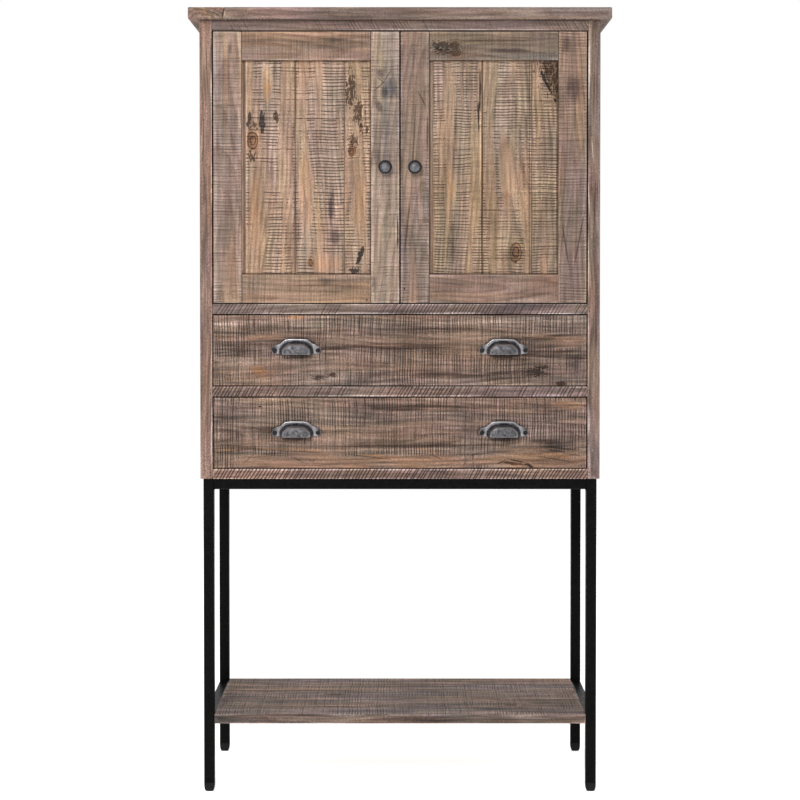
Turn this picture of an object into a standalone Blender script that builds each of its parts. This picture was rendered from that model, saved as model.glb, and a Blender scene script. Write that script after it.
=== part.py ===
"""Tall buffet cabinet: a reclaimed pine carcass on a black steel stand.

Two frame-and-panel doors turn on concealed pivot pins, two drawers slide on wooden runners,
and a boarded shelf hangs between the legs. Metres, +X right, +Y to the back, +Z up.
The origin is on the floor, under the middle of the whole object.
"""

import math

import bmesh
import bpy
from mathutils import Matrix, Vector

MM = 0.001

# Fits
SEAT = 0.3 * MM  # between pieces that are fixed to or rest on each other
REVEAL = 2.2 * MM  # even gap round doors and drawer fronts

# Carcass
CARCASS_WIDTH = 760 * MM
CARCASS_DEPTH = 380 * MM
SIDE_THICK = 23 * MM
BOARD_THICK = 19 * MM  # top rail, door floor, drawer divider and bottom
RAIL_DEPTH = 62 * MM  # front to back, top rail and drawer divider
TOP_THICK = 22 * MM
TOP_OVERHANG = 20 * MM
TOP_EASE = 2 * MM
TOP_EASE_STEPS = 2
TOP_END_WIDTH = 67.5 * MM  # board across the left end of the slab
TOP_JOINT_GAP = 0.8 * MM
TOP_JOINT_SLANT = math.radians(12)
EDGE_EASE = 0.8 * MM
BACK_THICK = 6 * MM
BACK_REBATE = 10 * MM  # how far the back panel reaches into each side
INNER_SHELF_THICK = 18 * MM
INNER_SHELF_SETBACK = 42 * MM
INNER_SHELF_RISE = 250 * MM  # underside above the door floor
HOUSING_DEEP = 8 * MM  # groove in the sides that carries the inner shelf

# Doors
DOOR_HEIGHT = 514 * MM
DOOR_THICK = 20 * MM
STILE_WIDTH = 54 * MM
DOOR_RAIL_WIDTH = 54 * MM
GROOVE_WIDTH = 8 * MM
GROOVE_DEEP = 10 * MM
GROOVE_SETBACK = 6 * MM
TENON_SHOULDER = 1 * MM
PANEL_PLAY = 1 * MM  # room for the panel to swell at the foot of its groove
PLANK_WIDTH = 92.6 * MM
PLANK_GAP = 1.4 * MM
PLANK_RAISE = 3 * MM  # plank faces in front of the tongue
PLANK_EASE = 0.6 * MM
TONGUE_SHOWN = 8 * MM  # bare tongue along the left of each panel

# Door pivots, catch and knobs
PIVOT_INSET = 14 * MM
PIVOT_SETBACK = 7 * MM
PIN_RADIUS = 3 * MM
COLLAR_RADIUS = 6.5 * MM
PIN_IN_BOARD = 12 * MM
PIN_IN_STILE = 20 * MM
CATCH_WIDTH = 58 * MM
CATCH_DEPTH = 16 * MM
CATCH_HEIGHT = 13 * MM
CATCH_GAP = 2.5 * MM  # door back to the housing, room for pole and strike plates
POLE_RAISE = 0.8 * MM
POLE_EASE = 0.2 * MM
POLE_MARGIN = 4 * MM
KNOB_RADIUS = 13.2 * MM
KNOB_NECK_RADIUS = 5 * MM
KNOB_BASE_RADIUS = 8 * MM
KNOB_BASE_THICK = 2.5 * MM
KNOB_NECK_LENGTH = 7 * MM
KNOB_FLARE = 1.75 * MM  # length of the flare at each end of the neck
KNOB_HEAD_THICK = 13 * MM
KNOB_RIM_THICK = 3 * MM
KNOB_CROWN_STEPS = 4

# Drawers
DRAWER_HEIGHT = 133.5 * MM
DRAWER_FRONT_THICK = 20 * MM
DRAWER_BACK_ROOM = 35 * MM  # between the drawer box and the back panel
DRAWER_SIDE_THICK = 15 * MM
DRAWER_SIDE_HEIGHT = 100 * MM
DRAWER_SIDE_RISE = 12 * MM  # side above the lower edge of the front
DRAWER_SIDE_GAP = 4 * MM
DRAWER_BACK_THICK = 13 * MM
DRAWER_BOTTOM_THICK = 6 * MM
DRAWER_BOTTOM_RISE = 9 * MM  # above the lower edge of the sides
DRAWER_GROOVE_DEEP = 5 * MM
RUNNER_THICK = 11 * MM
RUNNER_HEIGHT = 18 * MM
RUNNER_TAIL = 2.4 * MM  # drawer sides run this far past the runner
RUNNER_SETBACK = 4 * MM  # behind the back of the drawer front
RUNNING_GAP = 0.6 * MM

# Cup pulls
PULL_LIP_WIDTH = 73 * MM  # flat lip against the drawer front
PULL_LIP_HEIGHT = 30 * MM
PULL_LIP_THICK = 1.8 * MM
PULL_COVE_WIDTH = 67.5 * MM  # foot of the hollow cove that leads to the face
PULL_COVE_HEIGHT = 27.3 * MM
PULL_FACE_WIDTH = 55 * MM
PULL_FACE_HEIGHT = 20.5 * MM
PULL_FACE_DEPTH = 11 * MM  # where the cove meets the domed face
PULL_DEPTH = 22 * MM
PULL_WALL = 2.2 * MM
PULL_SCREW_SPACING = 84 * MM
PULL_EAR_RADIUS = 6.5 * MM
PULL_EAR_THICK = 2.6 * MM
PULL_SCREW_HOLE = 2.3 * MM
PULL_SCREW_RISE = 8 * MM  # screws above the lower edge of the cup
PULL_TURN_IN = 1.5 * MM  # the cup's widest level lies this far below its mouth
PULL_OFFSET = 197 * MM  # pull centre from the middle of the drawer
PULL_SPREAD_POWER = 3.2  # flat crown and full shoulders
PULL_RISE_POWER = 1.5
PULL_COLUMNS = 40
PULL_STEPS = 3

# Steel stand
STAND_HEIGHT = 600 * MM
STAND_INSET = 5 * MM  # stand inside the carcass, all round
TUBE_SIZE = 20 * MM
TUBE_WALL = 1.5 * MM
TUBE_CORNER = 2 * MM
TUBE_CORNER_STEPS = 2
LOWER_SHELF_TOP = 149 * MM
LOWER_SHELF_THICK = 18 * MM
LOWER_SHELF_BOARDS = 5
BOARD_GROOVE = 1.6 * MM
BOARD_GROOVE_DEEP = 2 * MM
TAB_THICK = 3 * MM
TAB_WIDTH = 32 * MM
TAB_REACH = 24 * MM
TAB_INSET = 45 * MM  # tab middle from the end of the side rail
FOOT_HEIGHT = 17 * MM
FOOT_RIM = 3 * MM
FOOT_TAPER = 4 * MM
FOOT_PLUG = 20 * MM
FOOT_STEPS = 4

ROUND_SIDES = 24
PIN_SIDES = 16
SHARP_ANGLE = math.radians(40)
CUT_MARGIN = 2 * MM  # how far a cutter runs past the face it opens
MERGE_GAP = 0.001 * MM  # points closer than this are one point
FACING = math.cos(math.radians(25))  # for faces that look one way, give or take 25 degrees

# Places worked out from the sizes
KNOB_LENGTH = KNOB_BASE_THICK + KNOB_NECK_LENGTH + KNOB_HEAD_THICK
REACH = max(TOP_OVERHANG, SEAT + KNOB_LENGTH, SEAT + PULL_DEPTH)
FRONT = (REACH - CARCASS_DEPTH) / 2
BACK = FRONT + CARCASS_DEPTH
HALF_WIDTH = CARCASS_WIDTH / 2
HALF_OPENING = HALF_WIDTH - SIDE_THICK
CARCASS_FOOT = STAND_HEIGHT + SEAT
LOWER_DRAWER_FOOT = CARCASS_FOOT + BOARD_THICK + REVEAL
DIVIDER_FOOT = LOWER_DRAWER_FOOT + DRAWER_HEIGHT + REVEAL
UPPER_DRAWER_FOOT = DIVIDER_FOOT + BOARD_THICK + REVEAL
DOOR_FLOOR_FOOT = UPPER_DRAWER_FOOT + DRAWER_HEIGHT + REVEAL
DOOR_FLOOR_TOP = DOOR_FLOOR_FOOT + BOARD_THICK
DOOR_FOOT = DOOR_FLOOR_TOP + REVEAL
DOOR_TOP = DOOR_FOOT + DOOR_HEIGHT
TOP_RAIL_FOOT = DOOR_TOP + REVEAL
CARCASS_TOP = TOP_RAIL_FOOT + BOARD_THICK
SLAB_FOOT = CARCASS_TOP + SEAT
BACK_FACE = BACK - BACK_THICK  # front of the back panel
INNER_BACK = BACK_FACE - SEAT
DRAWER_END = INNER_BACK - DRAWER_BACK_ROOM
SHELF_FOOT = DOOR_FLOOR_TOP + INNER_SHELF_RISE
SHELF_FRONT = FRONT + INNER_SHELF_SETBACK
STAND_FRONT = FRONT + STAND_INSET
STAND_BACK = BACK - STAND_INSET
STAND_HALF = HALF_WIDTH - STAND_INSET
LOWER_SHELF_FOOT = LOWER_SHELF_TOP - LOWER_SHELF_THICK
TAB_TOP = LOWER_SHELF_FOOT - SEAT
LOWER_RAIL_FOOT = TAB_TOP - TAB_THICK - SEAT

SIDES = {"left": -1, "right": 1}
AXIS_X, AXIS_Y, AXIS_Z = range(3)


# Materials

def material(name, colour, roughness, metallic=0.0):
    made = bpy.data.materials.new(name)
    made.use_nodes = True
    shader = made.node_tree.nodes["Principled BSDF"]
    shader.inputs["Base Color"].default_value = (*colour, 1.0)
    shader.inputs["Roughness"].default_value = roughness
    shader.inputs["Metallic"].default_value = metallic
    made.diffuse_color = (*colour, 1.0)
    return made


def make_materials():
    return {
        "frame_pine": material("reclaimed_pine_frame", (0.305, 0.212, 0.168), 0.75),
        "panel_pine": material("reclaimed_pine_panel", (0.352, 0.246, 0.181), 0.75),
        "drawer_pine": material("reclaimed_pine_drawer", (0.220, 0.150, 0.117), 0.75),
        "shelf_pine": material("reclaimed_pine_shelf", (0.170, 0.130, 0.115), 0.75),
        "inner_pine": material("raw_pine_inside", (0.42, 0.30, 0.19), 0.7),
        "plywood": material("pine_plywood", (0.40, 0.29, 0.18), 0.7),
        "black_steel": material("black_powder_coat", (0.012, 0.012, 0.012), 0.45, 0.3),
        "pewter": material("dark_pewter", (0.16, 0.16, 0.16), 0.42, 1.0),
        "pin_steel": material("blackened_steel", (0.06, 0.055, 0.05), 0.4, 1.0),
        "plastic": material("black_plastic", (0.015, 0.015, 0.015), 0.5),
    }


# Shape helpers

def clear_scene():
    for old in list(bpy.data.objects):
        bpy.data.objects.remove(old, do_unlink=True)


def add_object(name, shape, place, finish=None, parent=None):
    """Object from a bmesh drawn about its own origin, which goes to a place in the world."""
    mesh = bpy.data.meshes.new(name)
    shape.to_mesh(mesh)
    shape.free()
    if finish:
        mesh.materials.append(finish)
    made = bpy.data.objects.new(name, mesh)
    bpy.context.scene.collection.objects.link(made)
    made.parent = parent
    made.location = Vector(place) - (parent.location if parent else Vector())
    return made


def axis_empty(name, place):
    empty = bpy.data.objects.new(name, None)
    empty.location = place
    bpy.context.scene.collection.objects.link(empty)
    return empty


def block(low, high):
    """A plain block's bmesh about its own middle, and the place of that middle."""
    low, high = Vector(low), Vector(high)
    shape = bmesh.new()
    bmesh.ops.create_cube(shape, size=1.0, matrix=Matrix.Diagonal((*(high - low), 1.0)))
    return shape, (low + high) / 2


def board(name, low, high, finish, parent=None, ease=EDGE_EASE, ease_steps=1):
    """Block of wood with its edges eased."""
    shape, middle = block(low, high)
    piece = add_object(name, shape, middle, finish, parent)
    bevel = piece.modifiers.new("eased_edges", "BEVEL")
    bevel.width = ease
    bevel.segments = ease_steps
    bevel.limit_method = "ANGLE"
    return piece


def hide_helper(helper):
    helper.hide_render = True
    helper.display_type = "WIRE"
    return helper


def box_helper(name, low, high):
    shape, middle = block(low, high)
    return hide_helper(add_object(name, shape, middle))


def round_helper(name, place, radius, length, along):
    shape = bmesh.new()
    turn = Matrix.Rotation(math.pi / 2, 4, "X") if along == AXIS_Y else Matrix()
    bmesh.ops.create_cone(shape, cap_ends=True, segments=PIN_SIDES, radius1=radius,
                          radius2=radius, depth=length, matrix=turn)
    return hide_helper(add_object(name, shape, place))


def combine(piece, helper, operation="DIFFERENCE"):
    change = piece.modifiers.new(helper.name, "BOOLEAN")
    change.object = helper
    change.operation = operation
    change.solver = "EXACT"


def smooth(piece):
    piece.data.shade_smooth()
    piece.data.set_sharp_from_angle(angle=SHARP_ANGLE)


def mirrored(side, near, far):
    """Low and high X of a span measured outwards from the middle plane."""
    return sorted((SIDES[side] * near, SIDES[side] * far))


def turned(name, profile, place, finish, sides, turn=(0.0, 0.0, 0.0), parent=None):
    """Solid of revolution about its own Z from (radius, height) points that start and end at it."""
    shape = bmesh.new()
    points = [shape.verts.new((radius, 0.0, height)) for radius, height in profile]
    edges = [shape.edges.new(pair) for pair in zip(points, points[1:])]
    bmesh.ops.spin(shape, geom=points + edges, cent=(0, 0, 0), axis=(0, 0, 1),
                   angle=math.tau, steps=sides, use_merge=True)
    bmesh.ops.remove_doubles(shape, verts=shape.verts, dist=MERGE_GAP)
    bmesh.ops.recalc_face_normals(shape, faces=shape.faces)
    piece = add_object(name, shape, place, finish, parent)
    piece.rotation_euler = turn
    smooth(piece)
    return piece


def slice_at(shape, axis, places):
    """Cuts new edges round the shape at each place along one axis."""
    normal = [0.0, 0.0, 0.0]
    normal[axis] = 1.0
    for place in places:
        point = [0.0, 0.0, 0.0]
        point[axis] = place
        geometry = shape.verts[:] + shape.edges[:] + shape.faces[:]
        bmesh.ops.bisect_plane(shape, geom=geometry, plane_co=point, plane_no=normal)


def raise_strips(shape, outward, across, strips, window, height, ease):
    """Raises strips of the face that looks outward, each with eased edges.

    The strips are spans along the axis across them. The window is the span of the other axis
    of that face which they fill, or None for the whole face.
    """
    outward = Vector(outward)
    depth_axis = max(range(3), key=lambda i: abs(outward[i]))
    along = 3 - across - depth_axis
    slice_at(shape, across, [edge for strip in strips for edge in strip])
    if window:
        slice_at(shape, along, window)
    chosen = []
    for face in shape.faces:
        middle = face.calc_center_median()
        in_strip = any(low < middle[across] < high for low, high in strips)
        in_window = window is None or window[0] < middle[along] < window[1]
        if face.normal.dot(outward) > FACING and in_strip and in_window:
            chosen.append(face)
    raised = bmesh.ops.extrude_discrete_faces(shape, faces=chosen)["faces"]
    corners = {corner for face in raised for corner in face.verts}
    bmesh.ops.translate(shape, verts=list(corners), vec=outward * height)
    rims = {edge for face in raised for edge in face.edges}
    bmesh.ops.bevel(shape, geom=list(rims), offset=ease, segments=1, affect="EDGES")


# Carcass

def make_side_panel(side, finish):
    low_x, high_x = mirrored(side, HALF_OPENING, HALF_WIDTH)
    piece = board(
        f"side_panel_{side}",
        (low_x, FRONT, CARCASS_FOOT),
        (high_x, BACK, CARCASS_TOP),
        finish,
    )
    low_x, high_x = mirrored(side, HALF_OPENING - CUT_MARGIN, HALF_OPENING + BACK_REBATE)
    combine(piece, box_helper(
        f"cut_rebate_{side}",
        (low_x, INNER_BACK, CARCASS_FOOT - CUT_MARGIN),
        (high_x, BACK + CUT_MARGIN, CARCASS_TOP + CUT_MARGIN),
    ))
    low_x, high_x = mirrored(side, HALF_OPENING - CUT_MARGIN, HALF_OPENING + HOUSING_DEEP)
    combine(piece, box_helper(
        f"cut_housing_{side}",
        (low_x, SHELF_FRONT - SEAT, SHELF_FOOT - SEAT),
        (high_x, INNER_BACK + CUT_MARGIN, SHELF_FOOT + INNER_SHELF_THICK + SEAT),
    ))


def make_top(finish):
    """Slab of boards along X with one board across its left end, parted by a slanted joint."""
    half = HALF_WIDTH + TOP_OVERHANG
    low = Vector((-half, FRONT - TOP_OVERHANG, SLAB_FOOT))
    high = Vector((half, BACK, SLAB_FOOT + TOP_THICK))
    joint = (low + high) / 2
    joint.x = low.x + TOP_END_WIDTH
    across = Vector((math.cos(TOP_JOINT_SLANT), 0.0, -math.sin(TOP_JOINT_SLANT)))
    reach = Vector((half + CUT_MARGIN, CARCASS_DEPTH, TOP_THICK + 2 * half * abs(across.z)))
    for name, removed in (("top_slab", -1), ("top_end_board", 1)):
        piece = board(name, low, high, finish, ease=TOP_EASE, ease_steps=TOP_EASE_STEPS)
        cutter = box_helper(f"cut_{name}", -reach, reach)
        cutter.location = joint + across * removed * (reach.x - TOP_JOINT_GAP / 2)
        cutter.rotation_euler = (0.0, TOP_JOINT_SLANT, 0.0)
        combine(piece, cutter)


def make_carcass(finishes):
    pine = finishes["frame_pine"]
    across = HALF_OPENING - SEAT
    for side in SIDES:
        make_side_panel(side, pine)
    make_top(pine)
    levels = (
        ("top_rail", TOP_RAIL_FOOT, FRONT + RAIL_DEPTH),
        ("door_floor", DOOR_FLOOR_FOOT, INNER_BACK),
        ("drawer_divider", DIVIDER_FOOT, FRONT + RAIL_DEPTH),
        ("bottom_panel", CARCASS_FOOT, INNER_BACK),
    )
    pieces = {
        name: board(name, (-across, FRONT, foot), (across, back, foot + BOARD_THICK), pine)
        for name, foot, back in levels
    }
    for side in SIDES:
        for name, face in (("top_rail", TOP_RAIL_FOOT), ("door_floor", DOOR_FLOOR_TOP)):
            combine(pieces[name], round_helper(
                f"cut_{name}_pivot_{side}",
                pivot_place(side, face),
                PIN_RADIUS + SEAT,
                2 * PIN_IN_BOARD,
                AXIS_Z,
            ))
    back_half = HALF_OPENING + BACK_REBATE - SEAT
    board(
        "back_panel",
        (-back_half, BACK_FACE, CARCASS_FOOT),
        (back_half, BACK, CARCASS_TOP),
        finishes["plywood"],
    )
    shelf_half = HALF_OPENING + HOUSING_DEEP - SEAT
    board(
        "inner_shelf",
        (-shelf_half, SHELF_FRONT, SHELF_FOOT),
        (shelf_half, INNER_BACK, SHELF_FOOT + INNER_SHELF_THICK),
        finishes["inner_pine"],
    )


# Doors

def pivot_place(side, height):
    out = HALF_OPENING - REVEAL - PIVOT_INSET
    return Vector((SIDES[side] * out, FRONT + PIVOT_SETBACK, height))


def make_pivot_pin(side, end, face, finish):
    """Stepped pin: its collar fills the gap beside the door, and its long end runs in the stile."""
    collar = REVEAL / 2 - SEAT
    profile = (
        (0.0, -REVEAL / 2 - PIN_IN_STILE + SEAT),
        (PIN_RADIUS, -REVEAL / 2 - PIN_IN_STILE + SEAT),
        (PIN_RADIUS, -collar),
        (COLLAR_RADIUS, -collar),
        (COLLAR_RADIUS, collar),
        (PIN_RADIUS, collar),
        (PIN_RADIUS, REVEAL / 2 + PIN_IN_BOARD - SEAT),
        (0.0, REVEAL / 2 + PIN_IN_BOARD - SEAT),
    )
    flip = (0.0, 0.0, 0.0) if end == "top" else (math.pi, 0.0, 0.0)
    turned(f"pivot_pin_{side}_{end}", profile, pivot_place(side, face), finish, PIN_SIDES, flip)


def make_stile(name, side, span, inner_edge, hinge, finish, parent):
    """Upright of a door. The groove along its inner edge takes the rail tenons and the panel."""
    low_x, high_x = mirrored(side, *span)
    piece = board(
        name, (low_x, FRONT, DOOR_FOOT), (high_x, FRONT + DOOR_THICK, DOOR_TOP), finish, parent
    )
    into = math.copysign(1.0, sum(span) / 2 - inner_edge)
    low_x, high_x = mirrored(side, inner_edge - into * CUT_MARGIN, inner_edge + into * GROOVE_DEEP)
    groove_front = FRONT + GROOVE_SETBACK
    combine(piece, box_helper(
        f"cut_{name}",
        (low_x, groove_front, DOOR_FOOT - CUT_MARGIN),
        (high_x, groove_front + GROOVE_WIDTH, DOOR_TOP + CUT_MARGIN),
    ))
    if hinge:
        for end, face in (("top", DOOR_TOP), ("bottom", DOOR_FOOT)):
            combine(piece, round_helper(
                f"cut_{name}_{end}",
                pivot_place(side, face),
                PIN_RADIUS + SEAT,
                2 * PIN_IN_STILE,
                AXIS_Z,
            ))


def make_door_rail(name, side, near, far, foot, panel_edge, finish, parent):
    """Cross piece with a stub tenon on each end and a groove along its panel edge."""
    low_x, high_x = mirrored(side, near + SEAT, far - SEAT)
    top = foot + DOOR_RAIL_WIDTH
    piece = board(name, (low_x, FRONT, foot), (high_x, FRONT + DOOR_THICK, top), finish, parent)
    groove_front = FRONT + GROOVE_SETBACK
    groove_back = groove_front + GROOVE_WIDTH
    tenon = GROOVE_DEEP - 2 * SEAT
    combine(piece, box_helper(
        f"join_{name}",
        (low_x - tenon, groove_front + SEAT, foot + TENON_SHOULDER),
        (high_x + tenon, groove_back - SEAT, top - TENON_SHOULDER),
    ), "UNION")
    if panel_edge == "lower":
        low_z, high_z = foot - CUT_MARGIN, foot + GROOVE_DEEP
    else:
        low_z, high_z = top - GROOVE_DEEP, top + CUT_MARGIN
    combine(piece, box_helper(
        f"cut_{name}",
        (low_x - GROOVE_DEEP - CUT_MARGIN, groove_front, low_z),
        (high_x + GROOVE_DEEP + CUT_MARGIN, groove_back, high_z),
    ))


def make_door_panel(side, near, far, finish, parent):
    """Tongued boards, glued up: the tongue runs in the door's grooves, the plank faces stand proud."""
    low_x, high_x = mirrored(side, near, far)
    low_z, high_z = DOOR_FOOT + DOOR_RAIL_WIDTH, DOOR_TOP - DOOR_RAIL_WIDTH
    hold = GROOVE_DEEP - PANEL_PLAY
    front = FRONT + GROOVE_SETBACK + SEAT
    back = FRONT + GROOVE_SETBACK + GROOVE_WIDTH - SEAT
    shape, middle = block(
        (low_x - hold, front, low_z - hold), (high_x + hold, back, high_z + hold)
    )
    strips = []
    start = low_x + TONGUE_SHOWN
    while start < high_x - PLANK_GAP - SEAT:
        end = min(start + PLANK_WIDTH, high_x - SEAT)
        strips.append((start - middle.x, end - middle.x))
        start = end + PLANK_GAP
    window = (low_z + SEAT - middle.z, high_z - SEAT - middle.z)
    raise_strips(shape, (0, -1, 0), AXIS_X, strips, window, PLANK_RAISE, PLANK_EASE)
    add_object(f"door_panel_{side}", shape, middle, finish, parent)


def make_knob(side, finish, parent):
    """Mushroom knob: flared base, narrow neck and a low domed head with a rounded rim."""
    neck_end = KNOB_BASE_THICK + KNOB_NECK_LENGTH
    rim_foot = neck_end + (KNOB_HEAD_THICK - KNOB_RIM_THICK) / 2
    rim_end = rim_foot + KNOB_RIM_THICK
    crown = KNOB_LENGTH - rim_end
    profile = [
        (0.0, 0.0),
        (KNOB_BASE_RADIUS, 0.0),
        (KNOB_BASE_RADIUS, KNOB_BASE_THICK / 2),
        (KNOB_NECK_RADIUS, KNOB_BASE_THICK + KNOB_FLARE),
        (KNOB_NECK_RADIUS, neck_end - KNOB_FLARE),
        ((KNOB_NECK_RADIUS + KNOB_RADIUS) / 2, neck_end),
        (KNOB_RADIUS, rim_foot),
        (KNOB_RADIUS, rim_end),
    ]
    for step in range(1, KNOB_CROWN_STEPS):
        angle = math.pi / 2 * step / KNOB_CROWN_STEPS
        profile.append((KNOB_RADIUS * math.cos(angle), rim_end + crown * math.sin(angle)))
    profile.append((0.0, KNOB_LENGTH))
    place = (
        SIDES[side] * (REVEAL + STILE_WIDTH) / 2,
        FRONT - SEAT,
        (DOOR_FOOT + DOOR_TOP) / 2,
    )
    turned(f"knob_{side}", profile, place, finish, ROUND_SIDES, (math.pi / 2, 0.0, 0.0), parent)


def make_door(side, finishes):
    pine = finishes["frame_pine"]
    axis = axis_empty(f"{side}_door_axis", pivot_place(side, (DOOR_FOOT + DOOR_TOP) / 2))
    meeting_edge, hinge_edge = REVEAL / 2, HALF_OPENING - REVEAL
    near, far = meeting_edge + STILE_WIDTH, hinge_edge - STILE_WIDTH
    make_stile(f"meeting_stile_{side}", side, (meeting_edge, near), near, False, pine, axis)
    make_stile(f"hinge_stile_{side}", side, (far, hinge_edge), far, True, pine, axis)
    make_door_rail(
        f"door_top_rail_{side}", side, near, far, DOOR_TOP - DOOR_RAIL_WIDTH, "lower", pine, axis
    )
    make_door_rail(f"door_bottom_rail_{side}", side, near, far, DOOR_FOOT, "upper", pine, axis)
    make_door_panel(side, near, far, finishes["panel_pine"], axis)
    make_knob(side, finishes["pewter"], axis)
    make_pivot_pin(side, "top", DOOR_TOP + REVEAL / 2, finishes["pin_steel"])
    make_pivot_pin(side, "bottom", DOOR_FOOT - REVEAL / 2, finishes["pin_steel"])


def make_door_catch(finish):
    """Double magnetic catch under the top rail, with one raised pole plate for each door."""
    front = FRONT + DOOR_THICK + CATCH_GAP
    top = TOP_RAIL_FOOT - SEAT
    half = CATCH_WIDTH / 2
    shape, middle = block((-half, front, top - CATCH_HEIGHT), (half, front + CATCH_DEPTH, top))
    poles = [(-half + POLE_MARGIN, -POLE_MARGIN), (POLE_MARGIN, half - POLE_MARGIN)]
    edge = CATCH_HEIGHT / 2 - POLE_MARGIN
    raise_strips(shape, (0, -1, 0), AXIS_X, poles, (-edge, edge), POLE_RAISE, POLE_EASE)
    add_object("door_catch", shape, middle, finish)


# Drawers

def oval_loft(rows):
    """Closed loft of upright ovals, from a flat back to a point at the front.

    Each row is width, height and distance in front of the back plane. The last row is the point.
    """
    shape = bmesh.new()
    rings = []
    for width, height, forward in rows[:-1]:
        ring = []
        for step in range(PULL_COLUMNS):
            angle = math.tau * step / PULL_COLUMNS
            cosine, sine = math.cos(angle), math.sin(angle)
            x = math.copysign(abs(cosine) ** (2 / PULL_SPREAD_POWER), cosine) * width / 2
            z = math.copysign(abs(sine) ** (2 / PULL_RISE_POWER), sine) * height
            ring.append(shape.verts.new((x, -forward, z)))
        rings.append(ring)
    tip = shape.verts.new((0.0, -rows[-1][2], 0.0))
    shape.faces.new(rings[0])
    for inner, outer in zip(rings, rings[1:]):
        for step in range(PULL_COLUMNS):
            after = (step + 1) % PULL_COLUMNS
            shape.faces.new((inner[step], inner[after], outer[after], outer[step]))
    for step in range(PULL_COLUMNS):
        shape.faces.new((rings[-1][step], rings[-1][(step + 1) % PULL_COLUMNS], tip))
    bmesh.ops.recalc_face_normals(shape, faces=shape.faces)
    return shape


def cup_rows(wall):
    """Cup behind its outer skin by a wall: a hollow cove in from the lip, then a domed face."""
    skin = Vector((2 * wall, wall - PULL_TURN_IN, wall))
    cove = Vector((PULL_COVE_WIDTH, PULL_COVE_HEIGHT, PULL_LIP_THICK)) - skin
    face = Vector((PULL_FACE_WIDTH, PULL_FACE_HEIGHT, PULL_FACE_DEPTH)) - skin
    depth = PULL_DEPTH - wall
    rows = []
    for step in range(PULL_STEPS + 1):
        angle = math.pi / 2 * step / PULL_STEPS
        inward, forward = math.sin(angle), 1.0 - math.cos(angle)
        rows.append((
            cove.x + (face.x - cove.x) * inward,
            cove.y + (face.y - cove.y) * inward,
            cove.z + (face.z - cove.z) * forward,
        ))
    for step in range(1, PULL_STEPS + 1):
        angle = math.pi / 2 * step / PULL_STEPS
        rows.append((
            face.x * math.cos(angle),
            face.y * math.cos(angle),
            face.z + (depth - face.z) * math.sin(angle),
        ))
    return rows


def lip_rows():
    lip_height = PULL_LIP_HEIGHT + PULL_TURN_IN
    return [(PULL_LIP_WIDTH, lip_height, SEAT), (PULL_LIP_WIDTH, lip_height, PULL_LIP_THICK)]


def ear_plate():
    """Flat plate with round ends, one round each screw, that the cup is cast onto."""
    shape = bmesh.new()
    outline = []
    half_turn = ROUND_SIDES // 2
    for step in range(ROUND_SIDES + 2):
        right = step <= half_turn
        angle = math.pi * (step if right else step - 1) / half_turn - math.pi / 2
        middle = PULL_SCREW_SPACING / 2 * (1 if right else -1)
        outline.append(shape.verts.new((
            middle + PULL_EAR_RADIUS * math.cos(angle),
            0.0,
            PULL_SCREW_RISE + PULL_EAR_RADIUS * math.sin(angle),
        )))
    face = shape.faces.new(outline)
    front = bmesh.ops.extrude_face_region(shape, geom=[face])["geom"]
    moved = [item for item in front if isinstance(item, bmesh.types.BMVert)]
    bmesh.ops.translate(shape, verts=moved, vec=(0.0, -PULL_EAR_THICK, 0.0))
    bmesh.ops.recalc_face_normals(shape, faces=shape.faces)
    return shape


def make_cup_pull(name, centre_x, screw_height, finish, parent):
    place = Vector((centre_x, FRONT - SEAT, screw_height - PULL_SCREW_RISE))
    widest = place - Vector((0.0, 0.0, PULL_TURN_IN))
    piece = add_object(name, oval_loft(lip_rows() + cup_rows(0.0)), widest, finish, parent)
    combine(piece, hide_helper(add_object(f"join_{name}_ears", ear_plate(), place)), "UNION")
    hollow = cup_rows(PULL_WALL)
    hollow.insert(0, (hollow[0][0], hollow[0][1], -CUT_MARGIN))
    combine(piece, hide_helper(add_object(f"cut_{name}_hollow", oval_loft(hollow), widest)))
    reach = PULL_LIP_WIDTH / 2 + CUT_MARGIN
    combine(piece, box_helper(
        f"cut_{name}_mouth",
        widest + Vector((-reach, -PULL_DEPTH - CUT_MARGIN, -PULL_LIP_HEIGHT - CUT_MARGIN)),
        place + Vector((reach, CUT_MARGIN, 0.0)),
    ))
    for number, way in enumerate((-1, 1)):
        combine(piece, round_helper(
            f"cut_{name}_screw_{number}",
            place + Vector((way * PULL_SCREW_SPACING / 2, 0.0, PULL_SCREW_RISE)),
            PULL_SCREW_HOLE,
            2 * (PULL_EAR_THICK + CUT_MARGIN),
            AXIS_Y,
        ))
    smooth(piece)


def runner_foot(drawer_foot):
    return drawer_foot + DRAWER_SIDE_RISE + (DRAWER_SIDE_HEIGHT - RUNNER_HEIGHT) / 2


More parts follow.
